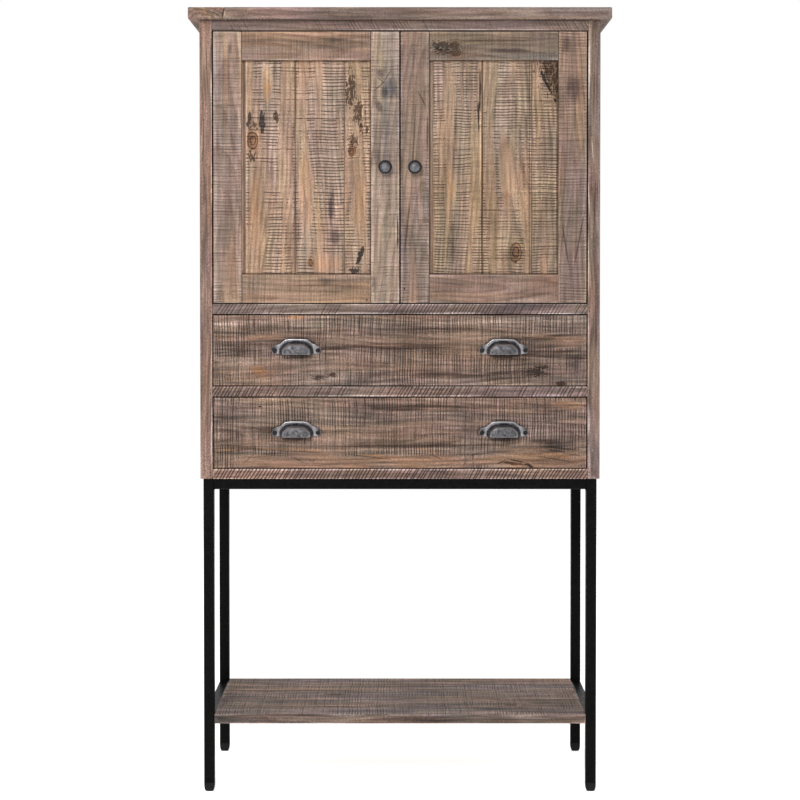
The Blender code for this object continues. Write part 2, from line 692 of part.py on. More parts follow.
def make_drawer_side(level, side, foot, finish, parent):
    """Side with a groove outside for the runner and a groove inside for the bottom."""
    outer = HALF_OPENING - DRAWER_SIDE_GAP
    inner = outer - DRAWER_SIDE_THICK
    start = FRONT + DRAWER_FRONT_THICK + SEAT
    side_foot = foot + DRAWER_SIDE_RISE
    low_x, high_x = mirrored(side, inner, outer)
    name = f"{level}_drawer_side_{side}"
    piece = board(
        name,
        (low_x, start, side_foot),
        (high_x, DRAWER_END, side_foot + DRAWER_SIDE_HEIGHT),
        finish,
        parent,
    )
    runner_face = HALF_OPENING - SEAT - RUNNER_THICK
    low_x, high_x = mirrored(side, runner_face - RUNNING_GAP, outer + CUT_MARGIN)
    combine(piece, box_helper(
        f"cut_{name}_runner",
        (low_x, start - CUT_MARGIN, runner_foot(foot) - RUNNING_GAP),
        (high_x, DRAWER_END + CUT_MARGIN, runner_foot(foot) + RUNNER_HEIGHT + SEAT),
    ))
    low_x, high_x = mirrored(side, inner - CUT_MARGIN, inner + DRAWER_GROOVE_DEEP)
    bottom = side_foot + DRAWER_BOTTOM_RISE
    combine(piece, box_helper(
        f"cut_{name}_bottom",
        (low_x, start - CUT_MARGIN, bottom - SEAT),
        (high_x, DRAWER_END + CUT_MARGIN, bottom + DRAWER_BOTTOM_THICK + SEAT),
    ))


def make_drawer(level, foot, finishes):
    inside = finishes["inner_pine"]
    axis = axis_empty(f"{level}_drawer_axis", (0.0, FRONT, foot + DRAWER_HEIGHT / 2))
    half = HALF_OPENING - REVEAL
    inner = HALF_OPENING - DRAWER_SIDE_GAP - DRAWER_SIDE_THICK
    front_back = FRONT + DRAWER_FRONT_THICK
    side_foot = foot + DRAWER_SIDE_RISE
    bottom = side_foot + DRAWER_BOTTOM_RISE
    bottom_half = inner + DRAWER_GROOVE_DEEP - SEAT
    front = board(
        f"{level}_drawer_front",
        (-half, FRONT, foot),
        (half, front_back, foot + DRAWER_HEIGHT),
        finishes["drawer_pine"],
        axis,
    )
    combine(front, box_helper(
        f"cut_{level}_drawer_front",
        (-bottom_half - SEAT, front_back - DRAWER_GROOVE_DEEP, bottom - SEAT),
        (bottom_half + SEAT, front_back + CUT_MARGIN, bottom + DRAWER_BOTTOM_THICK + SEAT),
    ))
    for side in SIDES:
        make_drawer_side(level, side, foot, inside, axis)
        low_x, high_x = mirrored(side, HALF_OPENING - SEAT - RUNNER_THICK, HALF_OPENING - SEAT)
        board(
            f"{level}_runner_{side}",
            (low_x, front_back + RUNNER_SETBACK, runner_foot(foot)),
            (high_x, DRAWER_END - RUNNER_TAIL, runner_foot(foot) + RUNNER_HEIGHT),
            inside,
        )
        make_cup_pull(
            f"{level}_pull_{side}",
            SIDES[side] * PULL_OFFSET,
            foot + DRAWER_HEIGHT / 2,
            finishes["pewter"],
            axis,
        )
    board(
        f"{level}_drawer_back",
        (-inner + SEAT, DRAWER_END - DRAWER_BACK_THICK, bottom + DRAWER_BOTTOM_THICK + SEAT),
        (inner - SEAT, DRAWER_END, side_foot + DRAWER_SIDE_HEIGHT),
        inside,
        axis,
    )
    board(
        f"{level}_drawer_bottom",
        (-bottom_half, front_back - DRAWER_GROOVE_DEEP + SEAT, bottom),
        (bottom_half, DRAWER_END, bottom + DRAWER_BOTTOM_THICK),
        finishes["plywood"],
        axis,
    )


# Steel stand

def round_corners(shape, along):
    """Rounds the long edges of a block to the tube's corner."""
    edges = []
    for edge in shape.edges:
        span = (edge.verts[1].co - edge.verts[0].co).normalized()
        if abs(span[along]) > FACING:
            edges.append(edge)
    bmesh.ops.bevel(shape, geom=edges, offset=TUBE_CORNER, segments=TUBE_CORNER_STEPS,
                    profile=0.5, affect="EDGES")


def tube(name, low, high, along, finish):
    """Square tube with rounded corners, open at both ends, along one axis."""
    shape, middle = block(low, high)
    round_corners(shape, along)
    ends = [face for face in shape.faces if abs(face.normal[along]) > FACING]
    bmesh.ops.inset_individual(shape, faces=ends, thickness=TUBE_WALL, use_even_offset=True)
    mouths = [edge for face in ends for edge in face.edges]
    bmesh.ops.delete(shape, geom=ends, context="FACES_ONLY")
    bmesh.ops.bridge_loops(shape, edges=mouths)
    bmesh.ops.recalc_face_normals(shape, faces=shape.faces)
    return add_object(name, shape, middle, finish)


def make_foot(name, x, y, finish):
    """Plastic foot: a plug in the tube, a square rim under it and a rounded, narrowing sole."""
    full_half = TUBE_SIZE / 2
    sole_height = FOOT_HEIGHT - FOOT_RIM
    shape, middle = block((-full_half, -full_half, sole_height), (full_half, full_half, FOOT_HEIGHT))
    bmesh.ops.translate(shape, verts=shape.verts[:], vec=middle)
    round_corners(shape, AXIS_Z)
    sole = min(shape.faces, key=lambda face: face.calc_center_median().z)
    half = full_half
    for step in range(1, FOOT_STEPS + 1):
        angle = math.pi / 2 * step / FOOT_STEPS
        next_half = full_half - FOOT_TAPER * (1.0 - math.cos(angle))
        sole = bmesh.ops.extrude_discrete_faces(shape, faces=[sole])["faces"][0]
        for corner in sole.verts:
            corner.co.x *= next_half / half
            corner.co.y *= next_half / half
            corner.co.z = sole_height * (1.0 - math.sin(angle))
        half = next_half
    top = max(shape.faces, key=lambda face: face.calc_center_median().z)
    wall = TUBE_WALL + SEAT
    bmesh.ops.inset_individual(shape, faces=[top], thickness=wall, use_even_offset=True)
    plug = bmesh.ops.extrude_discrete_faces(shape, faces=[top])["faces"][0]
    bmesh.ops.translate(shape, verts=plug.verts[:], vec=(0.0, 0.0, FOOT_PLUG))
    bmesh.ops.recalc_face_normals(shape, faces=shape.faces)
    add_object(name, shape, (x, y, 0.0), finish)


def make_legs(finishes):
    middle_x = STAND_HALF - TUBE_SIZE / 2
    middle_y = {"front": STAND_FRONT + TUBE_SIZE / 2, "rear": STAND_BACK - TUBE_SIZE / 2}
    half = TUBE_SIZE / 2
    for end, y in middle_y.items():
        for side, way in SIDES.items():
            x = way * middle_x
            tube(
                f"leg_{end}_{side}",
                (x - half, y - half, FOOT_HEIGHT + SEAT),
                (x + half, y + half, STAND_HEIGHT),
                AXIS_Z,
                finishes["black_steel"],
            )
            make_foot(f"foot_{end}_{side}", x, y, finishes["plastic"])


def make_stand_rails(finish):
    """Rails between the leg heads, and the two side rails with tabs that carry the lower shelf."""
    clear_x = STAND_HALF - TUBE_SIZE - SEAT
    rail_foot = STAND_HEIGHT - TUBE_SIZE
    for name, y in (("front_rail", STAND_FRONT), ("rear_rail", STAND_BACK - TUBE_SIZE)):
        tube(name, (-clear_x, y, rail_foot), (clear_x, y + TUBE_SIZE, STAND_HEIGHT), AXIS_X, finish)
    start = STAND_FRONT + TUBE_SIZE + SEAT
    end = STAND_BACK - TUBE_SIZE - SEAT
    for side in SIDES:
        low_x, high_x = mirrored(side, STAND_HALF - TUBE_SIZE, STAND_HALF)
        tube(
            f"side_rail_{side}",
            (low_x, start, rail_foot),
            (high_x, end, STAND_HEIGHT),
            AXIS_Y,
            finish,
        )
        name = f"lower_rail_{side}"
        rail = tube(
            name,
            (low_x, start, LOWER_RAIL_FOOT),
            (high_x, end, LOWER_RAIL_FOOT + TUBE_SIZE),
            AXIS_Y,
            finish,
        )
        inner = STAND_HALF - TUBE_SIZE
        low_x, high_x = mirrored(side, inner - TAB_REACH, inner + TUBE_WALL / 2)
        for number, y in enumerate((start + TAB_INSET, end - TAB_INSET)):
            combine(rail, box_helper(
                f"join_{name}_tab_{number}",
                (low_x, y - TAB_WIDTH / 2, TAB_TOP - TAB_THICK),
                (high_x, y + TAB_WIDTH / 2, TAB_TOP),
            ), "UNION")


def make_lower_shelf(finish):
    """Boards side by side on the tabs of the lower rails, flush with the legs front and back."""
    half = STAND_HALF - TUBE_SIZE - SEAT
    base_top = LOWER_SHELF_TOP - BOARD_GROOVE_DEEP
    shape, middle = block(
        (-half, STAND_FRONT, LOWER_SHELF_FOOT), (half, STAND_BACK, base_top)
    )
    depth = STAND_BACK - STAND_FRONT
    board_depth = (depth - BOARD_GROOVE * (LOWER_SHELF_BOARDS - 1)) / LOWER_SHELF_BOARDS
    starts = [-depth / 2 + (board_depth + BOARD_GROOVE) * i for i in range(LOWER_SHELF_BOARDS)]
    strips = [(start, start + board_depth) for start in starts]
    raise_strips(shape, (0, 0, 1), AXIS_Y, strips, None, BOARD_GROOVE_DEEP, PLANK_EASE)
    add_object("lower_shelf", shape, middle, finish)


def main():
    clear_scene()
    finishes = make_materials()
    make_carcass(finishes)
    for side in SIDES:
        make_door(side, finishes)
    make_door_catch(finishes["plastic"])
    make_drawer("upper", UPPER_DRAWER_FOOT, finishes)
    make_drawer("lower", LOWER_DRAWER_FOOT, finishes)
    make_legs(finishes)
    make_stand_rails(finishes["black_steel"])
    make_lower_shelf(finishes["shelf_pine"])


if __name__ == "__main__":
    main()
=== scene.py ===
"""Looks of the tall buffet cabinet: reclaimed pine, black steel stand, cast pulls and knobs.

Lengths are in metres, or in millimetres where a comment says so. +X is right, +Y back and +Z up.
"""

import math
from functools import partial

import bmesh
import bpy
from mathutils import Matrix, Vector


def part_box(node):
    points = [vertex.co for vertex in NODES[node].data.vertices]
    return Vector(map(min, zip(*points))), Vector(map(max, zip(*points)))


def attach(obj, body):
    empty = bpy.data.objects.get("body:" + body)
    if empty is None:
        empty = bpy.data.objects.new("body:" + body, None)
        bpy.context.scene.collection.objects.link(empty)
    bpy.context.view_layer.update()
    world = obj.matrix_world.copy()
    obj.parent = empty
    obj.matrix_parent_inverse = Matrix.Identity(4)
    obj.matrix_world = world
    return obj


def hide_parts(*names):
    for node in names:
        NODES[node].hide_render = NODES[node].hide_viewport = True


bl_info = {
    "name": "Tall Buffet Cabinet",
    "version": (1, 0, 0),
    "blender": (4, 5, 0),
    "location": "View3D > Sidebar > Buffet",
    "description": "Dresses the buffet cabinet in reclaimed pine, black steel and cast pulls",
    "category": "Object",
}

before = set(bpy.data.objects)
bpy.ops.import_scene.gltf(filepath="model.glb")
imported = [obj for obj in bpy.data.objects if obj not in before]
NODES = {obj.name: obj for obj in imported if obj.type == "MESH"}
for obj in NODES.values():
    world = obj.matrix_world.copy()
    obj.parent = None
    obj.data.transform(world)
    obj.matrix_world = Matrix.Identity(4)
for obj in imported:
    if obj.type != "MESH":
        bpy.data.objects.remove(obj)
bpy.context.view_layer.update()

MM = 0.001
SIDES = ("left", "right")
LEVELS = ("upper", "lower")

# Turns that bring a board's grain to local X
ALONG_X = (0.0, 0.0, 0.0)
ALONG_Y = (0.0, 0.0, -math.pi / 2)
ALONG_Z = (0.0, math.pi / 2, 0.0)

# Ways across a board, after that turn
OVER = (0.0, 1.0, 0.0)
UP = (0.0, 0.0, 1.0)

# Ways that a board's show side looks
FRONT = (0.0, -1.0, 0.0)
BACK = (0.0, 1.0, 0.0)
LEFT = (-1.0, 0.0, 0.0)
RIGHT = (1.0, 0.0, 0.0)
TOP = (0.0, 0.0, 1.0)

ORIGIN = (0.0, 0.0, 0.0)
WHITE = (1.0, 1.0, 1.0, 1.0)


def linear(code):
    """Linear colour of an sRGB hex value."""
    parts = [int(code[start:start + 2], 16) / 255 for start in (1, 3, 5)]
    return [v / 12.92 if v <= 0.04045 else ((v + 0.055) / 1.055) ** 2.4 for v in parts]


def opaque(colour):
    return (*colour, 1.0)


# Settings

def colour_setting(name, description, code):
    return bpy.props.FloatVectorProperty(
        name=name, description=description, subtype="COLOR", min=0.0, max=1.0, default=linear(code)
    )


def length_setting(name, description, metres):
    return bpy.props.FloatProperty(
        name=name, description=description, unit="LENGTH", subtype="DISTANCE", default=metres
    )


class BuffetWood(bpy.types.PropertyGroup):
    """Tones of the boards."""

    # Painted shade, in part: the top rail is toned dark for the shade under the slab, and each right-hand
    # board is toned darker than its left-hand match for the light from the left
    smoked_and_shaded: colour_setting("Smoked", "Darkest boards, the top rail and the door floor", "#6A5A54")
    brown: colour_setting("Brown", "Top slab and drawer divider", "#715F58")
    moss: colour_setting("Moss", "Right door's top rail", "#71645A")
    russet: colour_setting("Russet", "Left side and bottom panel", "#7B6358")
    umber: colour_setting("Umber", "Drawer fronts and the slab's end board", "#79665C")
    slate: colour_setting("Slate", "Lower shelf and the right door's meeting stile", "#7E6D65")
    drab: colour_setting("Drab", "Rails and a stile of the doors", "#846F64")
    dove: colour_setting("Dove", "Left door's hinge stile", "#89766C")
    ashen: colour_setting("Ashen", "Left door's meeting stile", "#92837A")
    honey: colour_setting("Honey", "Left door's bottom rail", "#937A66")
    left_planks: colour_setting("Left planks", "Planks of the left door", "#9B8473")
    right_planks: colour_setting("Right planks", "Planks of the right door", "#8F7B6A")
    inside: colour_setting("Inside", "Middle tone of the planed pine inside", "#B89A78")
    plywood: colour_setting("Plywood", "Middle tone of the back and the drawer bottoms", "#AC9274")


class BuffetMetal(bpy.types.PropertyGroup):
    """Tones of the metal and plastic pieces, and the sizes of the small ones."""

    coat: colour_setting("Powder coat", "Black of the steel stand", "#0A0A0A")
    plastic: colour_setting("Plastic", "Black of the feet and the catch", "#121212")
    # Patina also paints the shade on the knobs' beads and under the pulls, and worn metal paints the
    # highlights on the pulls' rims and crests as well as their polish
    patina_and_shade: colour_setting("Patina", "Dark tone in the hollows of the castings", "#262528")
    worn_and_highlight: colour_setting("Worn metal", "Bright tone on the edges of the castings", "#A09EA1")
    screw: colour_setting("Screws", "Tone of the blackened screws and pins", "#2A2827")
    zinc: colour_setting("Zinc", "Tone of the strike plates and inner screws", "#A9A9A6")
    rust: colour_setting("Rust", "Tone of the brads in the front edges", "#2A1D17")
    screw_radius: length_setting("Screw head", "Radius of the pull and stand screws", 4.2 * MM)
    nail_radius: length_setting("Nail head", "Radius of the nails in the back panel", 2.2 * MM)


class BuffetStage(bpy.types.PropertyGroup):
    """Camera, lights and floor."""

    lens: bpy.props.FloatProperty(
        name="Lens", description="Focal length", unit="CAMERA", subtype="DISTANCE_CAMERA", default=94.2
    )
    distance: length_setting("Distance", "Camera in front of the middle", 4.157)
    height: length_setting("Height", "Camera above the floor", 0.96)
    tilt: bpy.props.FloatProperty(
        name="Tilt", description="Camera below level", unit="ROTATION", subtype="ANGLE",
        default=math.radians(1.48),
    )
    lift: bpy.props.FloatProperty(name="Lift", description="Vertical shift of the lens", default=-0.07)
    key: bpy.props.FloatProperty(name="Key", description="Key light", unit="POWER", default=95.0)
    fill: bpy.props.FloatProperty(name="Fill", description="Fill light", unit="POWER", default=10.0)
    round: bpy.props.FloatProperty(
        name="Round", description="Lights at the sides and behind", unit="POWER", default=25.0
    )
    air: bpy.props.FloatProperty(name="Air", description="Light from all round", default=0.32)
    glow: bpy.props.FloatProperty(name="Glow", description="Light from the floor itself", default=0.7)
    floor: colour_setting("Floor", "Plain pale floor", "#FAFAF9")


# Node helpers

# The setting of a node that the second word of its kind gives
MODES = {
    "Math": "operation", "VectorMath": "operation", "MapRange": "interpolation_type", "Mix": "blend_type",
}


def feed(tree, node, sources):
    """Gives sockets their values, or links them to sockets or to the first live output of nodes."""
    for socket, source in sources.items():
        if isinstance(source, bpy.types.Node):
            source = next(output for output in source.outputs if output.enabled)
        if isinstance(source, bpy.types.NodeSocket):
            tree.links.new(source, node.inputs[socket])
        else:
            node.inputs[socket].default_value = source


def put(tree, kind, *sources, feeds=None, **settings):
    """One node. Sources go to its live sockets in their order, and feeds to sockets by name.

    A kind is the node's name and its mode, if it has one. A mode alone is that of a math node.
    """
    name, *mode = ("Math", kind) if kind.isupper() and " " not in kind else kind.split()
    node = tree.nodes.new("ShaderNode" + name)
    if mode:
        settings[MODES[name]] = mode[0]
    for setting, value in settings.items():
        setattr(node, setting, value)
    live = [number for number, socket in enumerate(node.inputs) if socket.enabled]
    feed(tree, node, dict(zip(live, sources)))
    feed(tree, node, feeds or {})
    return node


def chain(tree, source, *steps):
    """Nodes in a row. Each takes the one before it first, and then its own sources."""
    for kind, *sources in steps:
        source = put(tree, kind, source, *sources)
    return source


def new_group(name, takes, gives):
    """Node group with its sockets. A value's form says what kind of socket it is."""
    tree = bpy.data.node_groups.new(name, "ShaderNodeTree")
    for way, sockets in (("INPUT", takes), ("OUTPUT", gives)):
        for label, value in sockets.items():
            kind = "Float" if isinstance(value, float) else {3: "Vector", 4: "Color"}[len(value)]
            socket = tree.interface.new_socket(label, in_out=way, socket_type="NodeSocket" + kind)
            socket.default_value = value
    return tree, tree.nodes.new("NodeGroupInput").outputs, tree.nodes.new("NodeGroupOutput")


def new_material(name, **constants):
    """Material whose constant values sit on the shader's own sockets."""
    made = bpy.data.materials.new(name)
    made.use_nodes = True
    tree = made.node_tree
    shader = tree.nodes["Principled BSDF"]
    for label, value in constants.items():
        shader.inputs[label.replace("_", " ").title().replace("Ior", "IOR")].default_value = value
    return made, tree, shader


# Reclaimed pine: softwood boards with broad early wood and thin dark late wood, sawn rough by a
# band saw whose teeth left dashes across the grain, then waxed grey-brown and worn at the edges.

def make_knot_group():
    """One knot: pushes the grain aside and adds its core, rim and halo to those so far."""
    tree, take, give = new_group(
        "Knot",
        {
            "Place": ORIGIN, "Centre": ORIGIN, "Scale": (1.0, 1.0, 1.0), "Push": ORIGIN, "Core": 0.0,
            "Rim": 0.0, "Halo": 0.0,
        },
        {"Push": ORIGIN, "Core": 0.0, "Rim": 0.0, "Halo": 0.0},
    )
    add, run = partial(put, tree), partial(chain, tree)
    off = add("VectorMath SUBTRACT", take["Place"], take["Centre"])
    rough = add("TexNoise", take["Place"], 95.0, 3.0).outputs["Color"]
    rough = add("VectorMath MULTIPLY_ADD", rough, (0.9, 0.9, 0.9), (-0.45, -0.45, -0.45))
    far = run(off, ("VectorMath MULTIPLY_ADD", take["Scale"], rough), ("VectorMath LENGTH",))
    near = run(far, ("MULTIPLY", far), ("MULTIPLY", -0.35), ("EXPONENT",), ("MULTIPLY", -0.8))
    feed(tree, give, {"Push": add("VectorMath MULTIPLY_ADD", off, near, take["Push"])})
    core = add("MapRange SMOOTHSTEP", far, 1.2, 1.02)
    turns = run(far, ("MULTIPLY", math.tau / 0.54), ("COSINE",), ("MapRange SMOOTHSTEP", 0.2, 0.85))
    rim = add("MULTIPLY", turns, core)
    halo = add("MapRange SMOOTHSTEP", far, 2.8, 0.9)
    for label, mask in (("Core", core), ("Rim", rim), ("Halo", halo)):
        feed(tree, give, {label: add("MAXIMUM", mask, take[label])})


def make_stain_and_shade_group():
    """One stain, bark patch, crack or line of painted shade: a ragged oval whose paint multiplies the wood's
    colour.
    """
    tree, take, give = new_group(
        "Stain and shade",
        {
            "Colour": (0.5, 0.5, 0.5, 1.0), "Place": ORIGIN, "Centre": ORIGIN, "Turn": ORIGIN,
            "Scale": (1.0, 1.0, 1.0), "Paint": (0.0, 0.0, 0.0, 1.0), "Ragged": 0.5, "Soft": 0.3,
            "Grain": (1.0, 1.0, 1.0),
        },
        {"Colour": (0.5, 0.5, 0.5, 1.0)},
    )
    add, run = partial(put, tree), partial(chain, tree)
    far = run(
        take["Place"], ("VectorMath SUBTRACT", take["Centre"]), ("Mapping", ORIGIN, take["Turn"]),
        ("VectorMath MULTIPLY", take["Scale"]), ("VectorMath LENGTH",),
    )
    edge = run(
        take["Place"], ("VectorMath MULTIPLY", take["Grain"]), ("TexNoise", 1.0, 3.0), ("ADD", -0.5),
        ("MULTIPLY", take["Ragged"]), ("MULTIPLY_ADD", 5.0, far),
    )
    inner = add("SUBTRACT", 1.0, take["Soft"])
    mask = add("MapRange SMOOTHSTEP", edge, 1.0, inner)
    painted = add("Mix MULTIPLY", mask, take["Colour"], take["Paint"], data_type="RGBA")
    feed(tree, give, {"Colour": painted})


def make_pine_group():
    """Colour, height and roughness of a pine board from where a point lies in it."""
    tree, take, give = new_group(
        "Reclaimed pine",
        {
            "Place": ORIGIN, "Push": ORIGIN, "Turn": ORIGIN, "Seed": 0.0, "Pith": ORIGIN, "Face": OVER,
            "Sawn": 1.0, "Stave axis": UP, "Stave width": 10.0, "Stave start": -5.0, "Joint": 0.0,
            "Tone": (0.3, 0.2, 0.15, 1.0), "Contrast": 1.0, "Hue": 1.0, "Bands": 1.0, "Smoke": 1.0,
            "Ring pitch": 0.009, "Rings": 0.3, "Late": 0.85, "Saw": 0.5, "Saw pitch": 0.008, "Saw slant": 0.0,
            "Saw cover": 0.0, "Saw sides": 0.0, "Saw width": 0.17, "Dash": 0.03, "Fine": 1.0, "Wear": 0.5,
            "Centre": ORIGIN, "Half": (1.0, 1.0, 1.0), "Core": 0.0, "Rim": 0.0, "Halo": 0.0,
        },
        {"Colour": (0.5, 0.5, 0.5, 1.0), "Height": 0.0, "Roughness": 0.7},
    )
    add, run = partial(put, tree), partial(chain, tree)
    # Along, over and up the board, with and without the grain that knots push aside
    grown = add("VectorMath ADD", take["Place"], take["Push"])
    fibre = add("Mapping", grown, ORIGIN, take["Turn"])
    sawn = add("Mapping", take["Place"], ORIGIN, take["Turn"])

    # Each stave of a glued-up board takes its own piece of the pattern
    stave = run(
        sawn, ("VectorMath DOT_PRODUCT", take["Stave axis"]), ("SUBTRACT", take["Stave start"]),
        ("DIVIDE", take["Stave width"]),
    )
    number = run(stave, ("FLOOR",), ("ADD", take["Seed"]))
    chance = add("TexWhiteNoise", number, noise_dimensions="1D")
    shift = chance.outputs["Color"]
    shifted = add("VectorMath MULTIPLY_ADD", shift, (7.0, 3.0, 3.0), fibre)

    # Grain that wanders, then patterns drawn out along it
    wander = run(shifted, ("VectorMath MULTIPLY", (2.5, 9.0, 9.0)), ("TexNoise", 1.0, 2.0))
    wander = add("VectorMath SUBTRACT", wander.outputs["Color"], (0.5, 0.5, 0.5))
    lines = add("VectorMath MULTIPLY_ADD", wander, (0.0, 0.03, 0.03), shifted)
    fields = {
        label: run(lines, ("VectorMath MULTIPLY", scale), ("TexNoise", 1.0, detail))
        for label, scale, detail in (
            ("fibre", (9.0, 230.0, 230.0), 4.0), ("band", (2.6, 46.0, 46.0), 2.0),
            ("streak", (3.5, 60.0, 60.0), 4.0), ("blotch", (7.0, 24.0, 24.0), 3.0),
            ("hue", (3.6, 16.0, 16.0), 3.0), ("blush", (7.0, 32.0, 32.0), 3.0),
            ("smoke", (8.0, 19.0, 19.0), 4.0), ("speck", (480.0, 480.0, 480.0), 2.0),
        )
    }

    # Growth rings about the pith, which tapers along the board
    from_pith = run(grown, ("VectorMath SUBTRACT", take["Pith"]), ("Mapping", ORIGIN, take["Turn"]))
    from_pith = add("VectorMath MULTIPLY_ADD", shift, (0.0, 0.04, 0.04), from_pith)
    from_pith = add("VectorMath MULTIPLY_ADD", wander, (0.0, 0.05, 0.05), from_pith)
    radius = run(from_pith, ("VectorMath MULTIPLY", (0.0, 1.0, 1.0)), ("VectorMath LENGTH",))
    taper = add("SeparateXYZ", from_pith)
    ring = run(taper, ("MULTIPLY_ADD", 0.07, radius), ("DIVIDE", take["Ring pitch"]), ("FRACT",))
    ended = add("MapRange", ring, 1.0, 0.9)
    ring = run(ring, ("MapRange", 0.35, 0.9), ("MULTIPLY", ended))
    ringed = add("MULTIPLY", ring, take["Rings"])

    # How far a point lies inside the faces of its board, and whether on one that the saw cut
    off = run(take["Place"], ("VectorMath SUBTRACT", take["Centre"]), ("VectorMath ABSOLUTE",))
    room = add("VectorMath SUBTRACT", take["Half"], off)
    sunk = add("VectorMath DOT_PRODUCT", room, take["Face"])
    shown = run(sunk, ("MapRange", 0.0014, 0.0006), ("MULTIPLY", take["Sawn"]))

    # Saw marks: fine scratches, and a line of dashes for each set tooth, with a painted highlight on the
    # ridge beside each line
    places = add("SeparateXYZ", sawn).outputs
    scratch = add("VectorMath MULTIPLY", sawn, (360.0, 14.0, 14.0))
    scratch = run(shift, ("VectorMath MULTIPLY_ADD", (60.0, 60.0, 60.0), scratch), ("TexNoise", 1.0, 2.0))
    drift = run(sawn, ("VectorMath MULTIPLY", (6.0, 14.0, 14.0)), ("TexNoise", 1.0, 2.0))
    tooth = add("MULTIPLY_ADD", drift, 0.009, places["X"])
    tooth = run(places["Z"], ("MULTIPLY_ADD", take["Saw slant"], tooth), ("DIVIDE", take["Saw pitch"]))
    line = add("ROUND", tooth)
    lot = add("TexWhiteNoise", add("ADD", line, take["Seed"]), noise_dimensions="1D")
    off_line = add("SUBTRACT", tooth, line)
    off_line = run(lot, ("MULTIPLY_ADD", 0.44, off_line), ("SUBTRACT", 0.22), ("ABSOLUTE",))
    dashes = [add("MULTIPLY", line, 3.7), *(add("DIVIDE", places[axis], take["Dash"]) for axis in "YZ")]
    dash = add("CombineXYZ", *dashes)
    dash = run(shift, ("VectorMath MULTIPLY_ADD", (60.0, 60.0, 60.0), dash), ("TexNoise", 1.0, 1.0))
    cover = run(shift, ("VectorMath MULTIPLY_ADD", (9.0, 9.0, 9.0), sawn), ("TexNoise", 11.0, 2.0))
    to_side = add("PINGPONG", stave, 0.5)
    to_middle = run(to_side, ("ADD", -0.25), ("MULTIPLY", take["Saw sides"]))
    ends = add("MULTIPLY_ADD", lot, -0.1, fields["band"])
    ends = run(dash, ("MULTIPLY_ADD", -0.24, ends), ("MapRange SMOOTHSTEP", 0.33, 0.42))
    soft = add("SUBTRACT", 1.0, add("MULTIPLY", ends, take["Late"]))
    amount = add("MULTIPLY_ADD", dash, 0.9, take["Saw cover"])
    amount = add("MULTIPLY_ADD", lot, 0.4, amount)
    amount = run(
        cover, ("MULTIPLY_ADD", 1.6, amount), ("SUBTRACT", to_middle), ("MapRange", 1.2, 1.65),
        ("MULTIPLY", soft), ("MULTIPLY", shown),
    )
    wide = run(amount, ("MapRange", 0.0, 1.0, 0.3, 1.0), ("MULTIPLY", take["Saw width"]))
    marks = run(wide, ("SUBTRACT", off_line), ("MapRange SMOOTHSTEP", -0.05, 0.07))
    # Painted highlight: a lighter band on the ridge beside each saw line
    ridge_highlight = add("MapRange", off_line, 0.25, 0.5)
    marks, ridge_highlight = (run(part, ("MULTIPLY", amount), ("MULTIPLY", take["Saw"])) for part in (marks, ridge_highlight))

    # Torn grain: pale flecks where the saw plucked the fibres
    plucked = add("MapRange", cover, 0.5, 0.68)
    torn = run(
        sawn, ("VectorMath MULTIPLY", (260.0, 420.0, 420.0)), ("TexNoise", 1.0, 1.0),
        ("MapRange", 0.56, 0.68), ("MULTIPLY", plucked), ("MULTIPLY", take["Saw"]),
    )

    # Worn edges: where a point is near two faces of its board at once
    room = add("SeparateXYZ", room).outputs
    first, second, third = (add("MAXIMUM", room[one], room[other]) for one, other in ("XY", "YZ", "ZX"))
    edge = run(first, ("MINIMUM", second), ("MINIMUM", third))
    edge = run(
        fields["blotch"], ("MULTIPLY_ADD", 0.03, edge), ("MapRange SMOOTHSTEP", 0.0205, 0.0155),
        ("MULTIPLY", take["Wear"]),
    )

    # Dark joint between two staves
    joint = run(to_side, ("MULTIPLY", take["Stave width"]), ("MapRange", 0.0013, 0.0004))
    joint = add("MULTIPLY", joint, take["Joint"])

